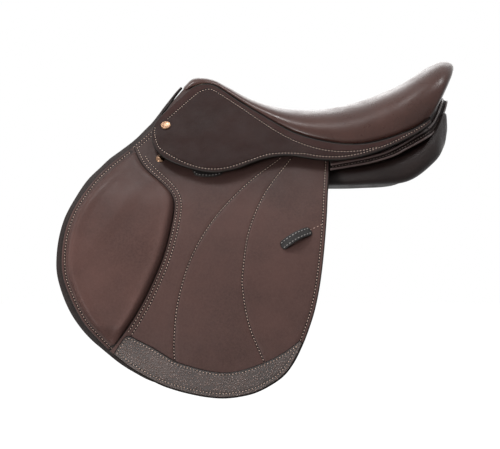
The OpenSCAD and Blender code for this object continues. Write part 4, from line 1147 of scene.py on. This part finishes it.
class SADDLE_OT_seat(bpy.types.Operator):
    """Draws the seat leather over its foam, with its edges turned under."""

    bl_idname = "saddle.seat"
    bl_label = "Seat"

    def execute(self, context):
        layers = seat_layers((0, 1), 1, SEAT_GRID, (0.0, SEAT_THICK))
        lipped = [np.concatenate([grid[:1] + SEAT_LIP, grid]) for grid in layers]
        across("seat_leather", slab(*lipped), "seat", "seat_cover")
        top = SEAT_THICK + FOAM_GAP
        layers = seat_layers(FOAM_SPAN, FOAM_HALF, FOAM_GRID, (top, top + FOAM_THICK))
        across("seat_foam_core", slab(*layers), "foam", "seat_foam")
        return {"FINISHED"}


WELT_FROM, WELT_POINTS, WELT_GAP = 0.117, 200, 0.4


class SADDLE_OT_welts(bpy.types.Operator):
    """Lays the welts between seat and skirts."""

    bl_idname = "saddle.welts"
    bl_label = "Welts"

    def execute(self, context):
        radius = context.scene.saddle_sizes.welt_radius / MM
        path = on_curve(SEAM, np.linspace(WELT_FROM, 1, WELT_POINTS))
        at, _ = wall(path[:, 0], path[:, 1] - radius - WELT_GAP, SEAM_R)
        both_sides("seat_welt_leather", tube(at, radius), [FINISH["welt"]], "saddle",
                   ("seat_welt_{}",))
        return {"FINISHED"}


SWEAT_THICK, SWEAT_ROW, SWEAT_ROW_TOP = 3.5, 15.0, 30


class SADDLE_OT_sweat_flaps(bpy.types.Operator):
    """Cuts the sweat flaps and stitches their front edges."""

    bl_idname = "saddle.sweat_flaps"
    bl_label = "Sweat flaps"

    def execute(self, context):
        edge = smooth(SWEAT_EDGE, 3.2)
        row = stretch(beside(edge, SWEAT_ROW), z=(-math.inf, SWEAT_ROW_TOP))
        sheet = leather_sheet(joined(edge, smooth(SWEAT_TOP, 4.0)), SWEAT_R, SWEAT_THICK, [row])
        both_sides("sweat_flap_leather", sheet, cut_leather("sweat"), "saddle",
                   ("sweat_flap_{}",))
        sew("saddle", [sewn(row, SWEAT_R)])
        return {"FINISHED"}


PANEL_X0, PANEL_L, PANEL_H, PANEL_WALL = -214.0, 428.0, 104.0, 577.0
PANEL_ROUND, PANEL_RINGS, PANEL_SIDES = 0.62, 84, 44
# Along the panel: its places as shares, and at each the inner top, outer top, outer base and inner base
PANEL_PLACES = [0, 0.02, 0.15, 0.36, 0.57, 0.72, 0.86, 0.955, 0.992, 1.006]
PANEL_CORNERS = [
    [(0.75, 0.85), (0.92, 0.9), (0.84, -0.25), (0.75, -0.3)],
    [(0.48, 0.84), (0.87, 0.95), (0.93, -0.4), (0.76, -0.48)],
    [(0.47, 0.82), (0.83, 0.96), (0.95, -0.28), (0.745, -0.36)],
    [(0.44, 0.76), (0.85, 0.86), (0.97, 0), (0.67, -0.05)],
    [(0.37, 0.6), (1.06, 0.36), (0.97, -0.02), (0.46, 0.07)],
    [(0.35, 0.59), (1.13, 0.31), (0.95, -0.015), (0.39, 0.1)],
    [(0.385, 0.74), (1.17, 0.54), (0.93, 0.025), (0.36, 0.2)],
    [(0.455, 0.94), (1.24, 0.84), (0.93, 0.315), (0.33, 0.42)],
    [(0.525, 1.06), (1.14, 1.09), (0.87, 0.55), (0.38, 0.62)],
    [(0.57, 1.04), (0.99, 1.07), (0.83, 0.78), (0.475, 0.8)]]


class SADDLE_OT_panels(bpy.types.Operator):
    """Fills the panels: long cushions, slanted along the points and flat at the rear."""

    bl_idname = "saddle.panels"
    bl_label = "Panels"

    def execute(self, context):
        v = np.linspace(0, 1, PANEL_RINGS)
        corner = [on_curve([c[k] for c in PANEL_CORNERS], v)[:, None] for k in range(4)]
        x = PANEL_X0 + on_curve([(q, 0) for q in PANEL_PLACES], v)[:, 0] * PANEL_L
        a = around(PANEL_SIDES)[:, None]
        s, t = ((1 + squarer(wave, PANEL_ROUND)) / 2 for wave in (np.cos(a), np.sin(a)))
        top = corner[0] * (1 - s) + corner[1] * s
        base = corner[3] * (1 - s) + corner[2] * s
        p = base * (1 - t) + top * t
        rings, _ = wall(x[:, None], p[..., 1] * PANEL_H, PANEL_WALL)
        rings[..., 1] *= p[..., 0]
        both_sides("panel_cushion", ringed(rings), [FINISH["panel"]], "saddle",
                   ("panel_{}",))
        return {"FINISHED"}


# Upper and lower roll of the band: its run in the side view, then on to the middle of the cantle
BANDS = [
    ([(41, 31.4), (66.4, 36.3), (93.1, 41.4), (120.7, 49.2), (145.7, 61.5), (162.6, 71.5), (176.3, 79.8)],
     [(189.2, -93, 89.2), (198.6, -72, 100.6), (205.8, -48, 114), (212.3, -23, 127.5), (215.6, 0, 134.6)]),
    ([(40, 24.6), (60.7, 28.2), (81.7, 31.8), (102.7, 36.1), (131.2, 44.8), (151.8, 55.4), (168.7, 64.4),
      (182.3, 72.4)],
     [(193.4, -95, 80.4), (202.4, -79, 91.4), (209.4, -58, 104), (216, -35, 117), (220.6, -15, 128.4),
      (222.6, 0, 131.6)])]
BAND_R = 598.5
BAND_RADII, BAND_SIDES, BAND_POINTS = (2.3, 1.7), (14, 12), 150
STRIP_ROWS, STRIP_RISE, STRIP_THICK = 7, 0.4, 1.8
STRIP_SEAM, SEAM_RISE, SEAM_RUN = 0.58, 0.6, slice(2, 118)


def band_path(row):
    """Centre line of one roll of the panel's band, from under the flap to the middle of the cantle."""
    side, back = BANDS[row]
    path = [wall(x, z, BAND_R)[0] for x, z in side] + [np.array(q, float) for q in back]
    return resampled(on_curve(path, np.linspace(0, 1, 400)), 1.6)


class SADDLE_OT_panel_bands(bpy.types.Operator):
    """Lays a band round the top of each panel: two rolls with a sewn strip between them."""

    bl_idname = "saddle.panel_bands"
    bl_label = "Panel bands"

    def execute(self, context):
        high, low = (at_share(band_path(row), np.linspace(0, 1, BAND_POINTS)) for row in (0, 1))
        share = np.linspace(0, 1, STRIP_ROWS)[:, None, None]
        along = np.gradient((high + low) / 2, axis=0)
        out = np.cross(low - high, along)
        out /= np.linalg.norm(out, axis=1)[:, None]
        out *= np.where((out * np.array([0.2, -1, 0.2])).sum(1) < 0, -1, 1)[:, None]
        face = high[None] * (1 - share) + low[None] * share + out * STRIP_RISE
        # The rolls wear the lighter roll finish, which is painted light
        rolls = [tube(path, *size) for path, size in zip((high, low), zip(BAND_RADII, BAND_SIDES))]
        skins = [*rolls, slab(face, face - out * STRIP_THICK)]
        # The sewn strip wears the dark welt finish: painted shade of the groove between the rolls
        marks = [mark for mark, (_, faces) in zip((0, 0, 1), skins) for _ in faces]
        both_sides("panel_band_rolls", (*together(*skins), marks, {}), [FINISH["roll"], FINISH["welt"]],
                   "saddle", ("panel_band_{}",))
        row = high * (1 - STRIP_SEAM) + low * STRIP_SEAM + out * SEAM_RISE
        sew("trim", [(row[SEAM_RUN], out[SEAM_RUN])])
        return {"FINISHED"}


POMMEL = [(-246.8, 67.6), (-230, 86), (-221.2, 95.6), (-211.2, 109.7), (-204.5, 120), (-196.4, 131.8)]
POMMEL_TOP = [(-187.5, -6, 143.6), (-180.2, 0, 152), (-187.5, 6, 143.6)]
POMMEL_R, ROLL_R, ROLL_SIDES, ROLL_END, ROLL_TAPER = 583.25, 1.9, 14, 0.35, 12
FACING_FROM_X, FACING_HALF, FACING_POINTS, FACING_ROWS = 172, 0.985, 40, 12
FACING_THICK, FACING_DEPTH, FACING_FOOT, FACING_HEAD = 2.2, 4.0, (2.4, 0, 0), (1.5, 0, 0)
COVER_THICK, PANEL_TOP_WIDTH, PANEL_TOP_STEP, PANEL_TOP_END = 2.4, 26.0, 5.0, 186


class SADDLE_OT_edgings(bpy.types.Operator):
    """Covers the pommel's front and the back of the cantle, down to the panel's band."""

    bl_idname = "saddle.edgings"
    bl_label = "Edgings"

    def execute(self, context):
        side = [wall(x, z, POMMEL_R)[0] for x, z in POMMEL]
        path = side + [np.array(q) for q in POMMEL_TOP] + [q * [1, -1, 1] for q in side[::-1]]
        path = resampled(on_curve(path, np.linspace(0, 1, 400)), 2.0)
        from_end = np.minimum(np.arange(len(path)), np.arange(len(path))[::-1])
        roll = tube(path, ROLL_R * np.clip(ROLL_END + from_end / ROLL_TAPER, 0, 1), ROLL_SIDES)
        across("pommel_roll_leather", roll, "panel", "pommel_roll")
        near = band_path(0)
        rear = near[np.argmin(np.abs(near[:, 0] - FACING_FROM_X)):]
        half = at_share(rear, np.linspace(0, 1, FACING_POINTS))
        low = np.vstack([half, half[-2::-1] * [1, -1, 1]]) - FACING_FOOT
        u = np.sin(np.linspace(-math.pi / 2, math.pi / 2, len(low))) * FACING_HALF
        high = seat_points(1.0, u, FACING_DEPTH, FACING_DEPTH) - FACING_HEAD
        k = np.linspace(0, 1, FACING_ROWS)[:, None, None]
        face = high[None] * (1 - k) + low[None] * k
        across("cantle_facing_leather", slab(face, face - [FACING_THICK, 0, 0]), "panel", "cantle_facing")
        strip = resampled(near[near[:, 0] < PANEL_TOP_END][:, [0, 2]], PANEL_TOP_STEP)
        panel_top = joined(strip, beside(strip, PANEL_TOP_WIDTH)[::-1])
        cover = joined(smooth(POMMEL_COVER[:COVER_BEND + 1]), smooth(POMMEL_COVER[COVER_BEND:], 4.0))
        for label, outline, radius, finish in (("panel_top_leather", panel_top, BAND_R - 1.0, "panel"),
                                               ("pommel_cover_leather", cover, COVER_R, "flap")):
            sheet = leather_sheet(outline, radius, COVER_THICK)
            both_sides(label, sheet, cut_leather(finish), "saddle")
        return {"FINISHED"}


KEEPER_PLACE, KEEPER_TURN = (-10.4, -75), math.radians(31)
KEEPER_SPAN, KEEPER_RISE, KEEPER_WIDTH, KEEPER_THICK = 49.0, 9.0, 14.0, 3.0
KEEPER_RINGS, KEEPER_SIDES, KEEPER_FLATNESS, KEEPER_LIFT = 61, 28, (0.45, 0.75), 0.6
KEEPER_ROW, KEEPER_RUN, KEEPER_TAIL = 4.0, slice(5, -5), [(10.5, -62.5), (25.5, -55.5)]


class SADDLE_OT_keepers(bpy.types.Operator):
    """Arches the keepers of the stirrup leathers and sews them down."""

    bl_idname = "saddle.keepers"
    bl_label = "Keepers"

    def execute(self, context):
        at, out = wall(*KEEPER_PLACE, BARREL_R + KEEPER_LIFT)
        rear = np.array([math.cos(YAW), -math.sin(YAW), 0.0])
        up = np.cross(out, rear)
        along = math.cos(KEEPER_TURN) * rear + math.sin(KEEPER_TURN) * up
        aside = np.cross(out, along)
        radius = (KEEPER_SPAN ** 2 / 4 + KEEPER_RISE ** 2) / (2 * KEEPER_RISE)
        end = math.asin(KEEPER_SPAN / 2 / radius)
        turn = np.linspace(-end, end, KEEPER_RINGS)
        spoke = np.sin(turn)[:, None] * along + np.cos(turn)[:, None] * out
        middle = at + out * (KEEPER_RISE - radius) + spoke * (radius - KEEPER_THICK / 2)
        half = KEEPER_WIDTH / 2 * quarter_round(1.03 - np.abs(turn) / end, 0.22)
        a = around(KEEPER_SIDES)[:, None]
        wide, tall = (squarer(wave, flat) for wave, flat in zip((np.cos(a), np.sin(a)), KEEPER_FLATNESS))
        rings = middle[:, None] + half[:, None, None] * wide * aside
        rings = rings + KEEPER_THICK / 2 * tall * spoke[:, None]
        both_sides("leather_keeper_band", ringed(rings), [FINISH["keeper"]], "flap_{}",
                   ("leather_keeper_{}",))
        face = middle + spoke * (KEEPER_THICK / 2 + 0.05)
        sew("keeper", [((face + s * KEEPER_ROW * aside)[KEEPER_RUN], spoke[KEEPER_RUN]) for s in (-1, 1)])
        sew("flap", [sewn(resampled(KEEPER_TAIL, 2.0), BARREL_R, 0.5, lift=flap_face_lift)])
        return {"FINISHED"}


BAR_GUARD_THICK, BAR_GUARD_ROW = 2.4, 2.8


class SADDLE_OT_bar_guards(bpy.types.Operator):
    """Lays the small dark guards that hang from under the skirts."""

    bl_idname = "saddle.bar_guards"
    bl_label = "Bar guards"

    def execute(self, context):
        outline = resampled(BAR_GUARD + BAR_GUARD[:1], 2.0)[:-1]
        row = beside(smooth(BAR_GUARD[1:-1], 2.0), BAR_GUARD_ROW)
        sheet = leather_sheet(outline, GUARD_R, BAR_GUARD_THICK, [row])
        both_sides("bar_guard_leather", sheet, cut_leather("keeper"), "flap_{}",
                   ("bar_guard_{}",), FLAP_BEND)
        sew("guard", [sewn(row, GUARD_R)])
        return {"FINISHED"}


NAIL_PLACE, STUD_PLACE = (-199.9, 90), (-207.2, 41.5)
NAIL = [(0, 1.9), (2.5, 1.9), (4.8, 2.0), (5.5, 2.4), (6.3, 2.4), (7.0, 1.9), (7.4, 1.2), (7.4, -0.4),
        (2, -0.4), (2, -24), (0, -24)]
STUD = [(0, 3), (1.2, 2.95), (2.6, 2.6), (4.6, 1.9), (6.2, 1.1), (7, 0.3), (7, -0.4), (2, -0.4), (2, -4),
        (0, -4)]


class SADDLE_OT_nails(bpy.types.Operator):
    """Sets the plain copper nails of the skirts and studs of the flaps."""

    bl_idname = "saddle.nails"
    bl_label = "Nails and studs"

    def execute(self, context):
        nail = turned(NAIL, *wall(*NAIL_PLACE, SKIRT_R, -skirt_face_lift(*NAIL_PLACE)))
        across("skirt_nail_heads", together(nail, mirrored(*nail, -1)), "copper", "skirt_nails")
        stud = turned(STUD, *wall(*STUD_PLACE, BARREL_R, -0.3))
        both_sides("flap_stud_head", stud, [FINISH["stud"]], "saddle", ("flap_stud_{}",))
        return {"FINISHED"}


STRAPS = {"front": -117.9, "rear": -62.0}
STRAP_TOP, STRAP_FOOT, STRAP_HALF, STRAP_ROW, STRAP_BACK_R = 59.0, -223.0, 13.0, 3.0, 586.15
BUCKLE_GUARD_FOOT, ROW_TOP_GAP, ROW_FOOT_GAP, ROW_STEP = -58.0, 6, 18, 3.0


class SADDLE_OT_strap_rows(bpy.types.Operator):
    """Rows of stitches down both edges of the girth straps, below their buckle guards."""

    bl_idname = "saddle.strap_rows"
    bl_label = "Girth strap rows"

    def execute(self, context):
        z = np.arange(BUCKLE_GUARD_FOOT - ROW_TOP_GAP, STRAP_FOOT + ROW_FOOT_GAP, -ROW_STEP)
        drift = wall(0.0, z, STRAP_BACK_R)[0][:, 1] - wall(0.0, STRAP_TOP, STRAP_BACK_R)[0][1]
        for label, x in STRAPS.items():
            middle = x + drift * math.sin(YAW)
            edges = (middle + s * (STRAP_HALF - STRAP_ROW) for s in (-1, 1))
            sew(f"strap_{label}", [wall(edge, z, STRAP_R, -0.05) for edge in edges])
        return {"FINISHED"}


# Body, bend, thread and material slot of each group of stitch rows
SEWING = {
    "flap": ("flap_{}", FLAP_BEND, "thread", "flap_leather"),
    "skirt": ("skirt_lobe_{}", SKIRT_BEND, "thread", "skirt_leather"),
    "saddle": ("saddle", None, "dark_thread", "sweat_leather"),
    "keeper": ("flap_{}", None, "grey_thread", "keeper_leather"),
    "guard": ("flap_{}", FLAP_BEND, "grey_thread", "keeper_leather"),
    "trim": ("saddle", None, "dark_thread", "panel_leather"),
    "strap_front": ("girth_strap_front_{}", None, "thread", "strap_leather"),
    "strap_rear": ("girth_strap_rear_{}", None, "thread", "strap_leather"),
}


STITCH_INPUTS = (("Geometry", "Geometry"), ("Pitch", "Float"), ("Length", "Float"), ("Radius", "Float"),
                 ("Slant", "Float"), ("Seed", "Int"), ("Thread", "Material"))
STITCH_SIDES, STITCH_RINGS, LEAST_SLANT, MOST_SLANT = 6, 5, 0.8, 1.2


def stitch_tree():
    """A node tree that sets stitches along rows of edges, square to the direction kept in "lay"."""
    tree = bpy.data.node_groups.get("stitch_row")
    if tree is not None:
        return tree
    tree = bpy.data.node_groups.new("stitch_row", "GeometryNodeTree")
    for label, kind in STITCH_INPUTS:
        tree.interface.new_socket(label, in_out="INPUT", socket_type=f"NodeSocket{kind}")
    tree.interface.new_socket("Geometry", in_out="OUTPUT", socket_type="NodeSocketGeometry")

    def step(kind, result, inputs=None, **settings):
        """One result of a new node."""
        return node(tree, kind, inputs, **settings).outputs[result]

    given = node(tree, "NodeGroupInput").outputs
    row = step("GeometryNodeMeshToCurve", "Curve", {"Mesh": given["Geometry"]})
    spaced = step("GeometryNodeResampleCurve", "Curve", {"Curve": row, "Length": given["Pitch"]},
                  mode="LENGTH")
    lay = step("GeometryNodeInputNamedAttribute", "Attribute", {"Name": "lay"}, data_type="FLOAT_VECTOR")
    along = step("GeometryNodeInputTangent", "Tangent")
    first = step("FunctionNodeAlignRotationToVector", "Rotation", {"Vector": along}, axis="X")
    square = step("FunctionNodeAlignRotationToVector", "Rotation", {"Rotation": first, "Vector": lay},
                  axis="Z", pivot_axis="X")
    wobble = step("FunctionNodeRandomValue", 1, {2: LEAST_SLANT, 3: MOST_SLANT, "Seed": given["Seed"]},
                  data_type="FLOAT")
    angle = maths(tree, "MULTIPLY", given["Slant"], wobble)
    spin = step("ShaderNodeCombineXYZ", "Vector", {"Z": angle})
    turn = step("FunctionNodeEulerToRotation", "Rotation", {"Euler": spin})
    slanted = step("FunctionNodeRotateRotation", "Rotation", {"Rotation": square, "Rotate By": turn},
                   rotation_space="LOCAL")
    bead = step("GeometryNodeMeshUVSphere", "Mesh",
                {"Segments": STITCH_SIDES, "Rings": STITCH_RINGS, "Radius": 1.0})
    lying = step("GeometryNodeTransform", "Geometry", {"Geometry": bead, "Rotation": (0, math.pi / 2, 0)})
    half = maths(tree, "MULTIPLY", given["Length"], 0.5)
    size = step("ShaderNodeCombineXYZ", "Vector", {"X": half, "Y": given["Radius"], "Z": given["Radius"]})
    stitch = step("GeometryNodeTransform", "Geometry", {"Geometry": lying, "Scale": size})
    sewn_on = step("GeometryNodeInstanceOnPoints", "Instances",
                   {"Points": spaced, "Instance": stitch, "Rotation": slanted})
    solid = step("GeometryNodeRealizeInstances", "Geometry", {"Geometry": sewn_on})
    even = step("GeometryNodeSetShadeSmooth", "Geometry", {"Geometry": solid})
    dyed = step("GeometryNodeSetMaterial", "Geometry", {"Geometry": even, "Material": given["Thread"]})
    node(tree, "NodeGroupOutput", {"Geometry": dyed})
    return tree


def stitch_mesh(name, rows, side, material):
    """One mesh of all the stitches along the given rows."""
    sizes = bpy.context.scene.saddle_sizes
    flip = np.array([1, side, 1])
    verts, lays, edges = [], [], []
    for points, normals in rows:
        first = len(verts)
        verts += list(points * flip)
        lays += list(normals * flip)
        edges += [(first + k, first + k + 1) for k in range(len(points) - 1)]
    mesh = bpy.data.meshes.new(name + "_rows")
    mesh.from_pydata((np.array(verts) * MM).tolist(), edges, [])
    layer = mesh.attributes.new("lay", "FLOAT_VECTOR", "POINT")
    layer.data.foreach_set("vector", np.array(lays, np.float32).ravel())
    guide = bpy.data.objects.new(name + "_rows", mesh)
    bpy.context.scene.collection.objects.link(guide)
    tree = stitch_tree()
    modifier = guide.modifiers.new("stitches", "NODES")
    modifier.node_group = tree
    values = {"Pitch": sizes.stitch_pitch, "Length": sizes.stitch_length, "Radius": sizes.thread_radius,
              "Slant": sizes.stitch_slant * side, "Seed": SEED, "Thread": material}
    for socket in tree.interface.items_tree:
        if socket.in_out == "INPUT" and socket.name in values:
            modifier[socket.identifier] = values[socket.name]
    guide.update_tag()
    depsgraph = bpy.context.evaluated_depsgraph_get()
    made = bpy.data.meshes.new_from_object(guide.evaluated_get(depsgraph))
    guide.modifiers.remove(modifier)
    bpy.data.objects.remove(guide)
    made.name = name
    for spare in [a.name for a in made.attributes if a.name == "lay"]:
        made.attributes.remove(made.attributes[spare])
    piece = bpy.data.objects.new(name, made)
    bpy.context.scene.collection.objects.link(piece)
    if not len(made.polygons):
        raise RuntimeError(f"{name} has no stitches")
    return piece


class SADDLE_OT_stitching(bpy.types.Operator):
    """Sews every row: stitches are set along it by a node tree, one mesh for each body."""

    bl_idname = "saddle.stitching"
    bl_label = "Stitching"

    def execute(self, context):
        for key, rows in STITCHES.items():
            body, ends, colour, slot = SEWING[key]
            for name, side in SIDES:
                piece = stitch_mesh(f"stitches_{key}_{name}", rows, side, FINISH[colour])
                if ends is None:
                    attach(piece, body.format(name))
                else:
                    turn_with(piece, body.format(name), ends, side)
        return {"FINISHED"}


SLOT_FINISH = {
    "copper": "copper", "steel": "steel", "tree_wood": "beech", "webbing": "web", "foam": "foam",
    "strap_leather": "strap", "panel_leather": "panel", "seat_leather": "seat", "keeper_leather": "keeper",
    "flap_leather": "flap", "skirt_leather": "skirt", "sweat_leather": "sweat", "grained_leather": "wear"}
BEVELLED_SLOTS, BEVEL_ANGLE = ("strap_leather", "sweat_leather", "steel"), math.radians(40)
BLUED_NODES = ("head_plate", "spring_")


class SADDLE_OT_fittings(bpy.types.Operator):
    """Gives every carried-over solid its finish."""

    bl_idname = "saddle.fittings"
    bl_label = "Fittings"

    def execute(self, context):
        for part in frame["record"]["subparts"]:
            solid, slot = frame["nodes"][part["node"]], part["material_slot"]
            solid.data.materials.clear()
            finish = "blued" if part["node"].startswith(BLUED_NODES) else SLOT_FINISH[slot]
            solid.data.materials.append(FINISH[finish])
            if slot in BEVELLED_SLOTS:
                bevel = solid.modifiers.new("edges", "BEVEL")
                bevel.width, bevel.segments = context.scene.saddle_sizes.solid_bevel, 2
                bevel.limit_method, bevel.angle_limit = "ANGLE", BEVEL_ANGLE
        return {"FINISHED"}


class SADDLE_PT_panel(bpy.types.Panel):
    """Lists the saddle's building steps."""

    bl_label = "Saddle"
    bl_idname = "SADDLE_PT_panel"
    bl_space_type = "VIEW_3D"
    bl_region_type = "UI"
    bl_category = "Saddle"

    def draw(self, context):
        for group in (context.scene.saddle_sizes, context.scene.saddle_colours):
            for name in group.bl_rna.properties.keys():
                if name not in ("rna_type", "name"):
                    self.layout.prop(group, name)
        for operator in STEPS:
            self.layout.operator(operator.bl_idname)


STEPS = (SADDLE_OT_stage, SADDLE_OT_fittings, SADDLE_OT_flaps, SADDLE_OT_knee_pads, SADDLE_OT_wear_strips,
         SADDLE_OT_skirts, SADDLE_OT_seat, SADDLE_OT_welts, SADDLE_OT_sweat_flaps, SADDLE_OT_panels,
         SADDLE_OT_panel_bands, SADDLE_OT_edgings, SADDLE_OT_keepers, SADDLE_OT_bar_guards, SADDLE_OT_nails,
         SADDLE_OT_strap_rows, SADDLE_OT_stitching)
CLASSES = (SaddleSizes, SaddleColours, *STEPS, SADDLE_PT_panel)


def register():
    """Adds the classes, and the sizes and colours of the scene."""
    for cls in CLASSES:
        bpy.utils.register_class(cls)
    bpy.types.Scene.saddle_sizes = bpy.props.PointerProperty(type=SaddleSizes)
    bpy.types.Scene.saddle_colours = bpy.props.PointerProperty(type=SaddleColours)


def unregister():
    """Takes them away again."""
    del bpy.types.Scene.saddle_sizes
    del bpy.types.Scene.saddle_colours
    for cls in reversed(CLASSES):
        bpy.utils.unregister_class(cls)


def main():
    """Builds the saddle step by step."""
    register()
    mix_finishes()
    for step in STEPS:
        group, name = step.bl_idname.split(".")
        getattr(getattr(bpy.ops, group), name)()
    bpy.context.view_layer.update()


if __name__ == "__main__":
    main()
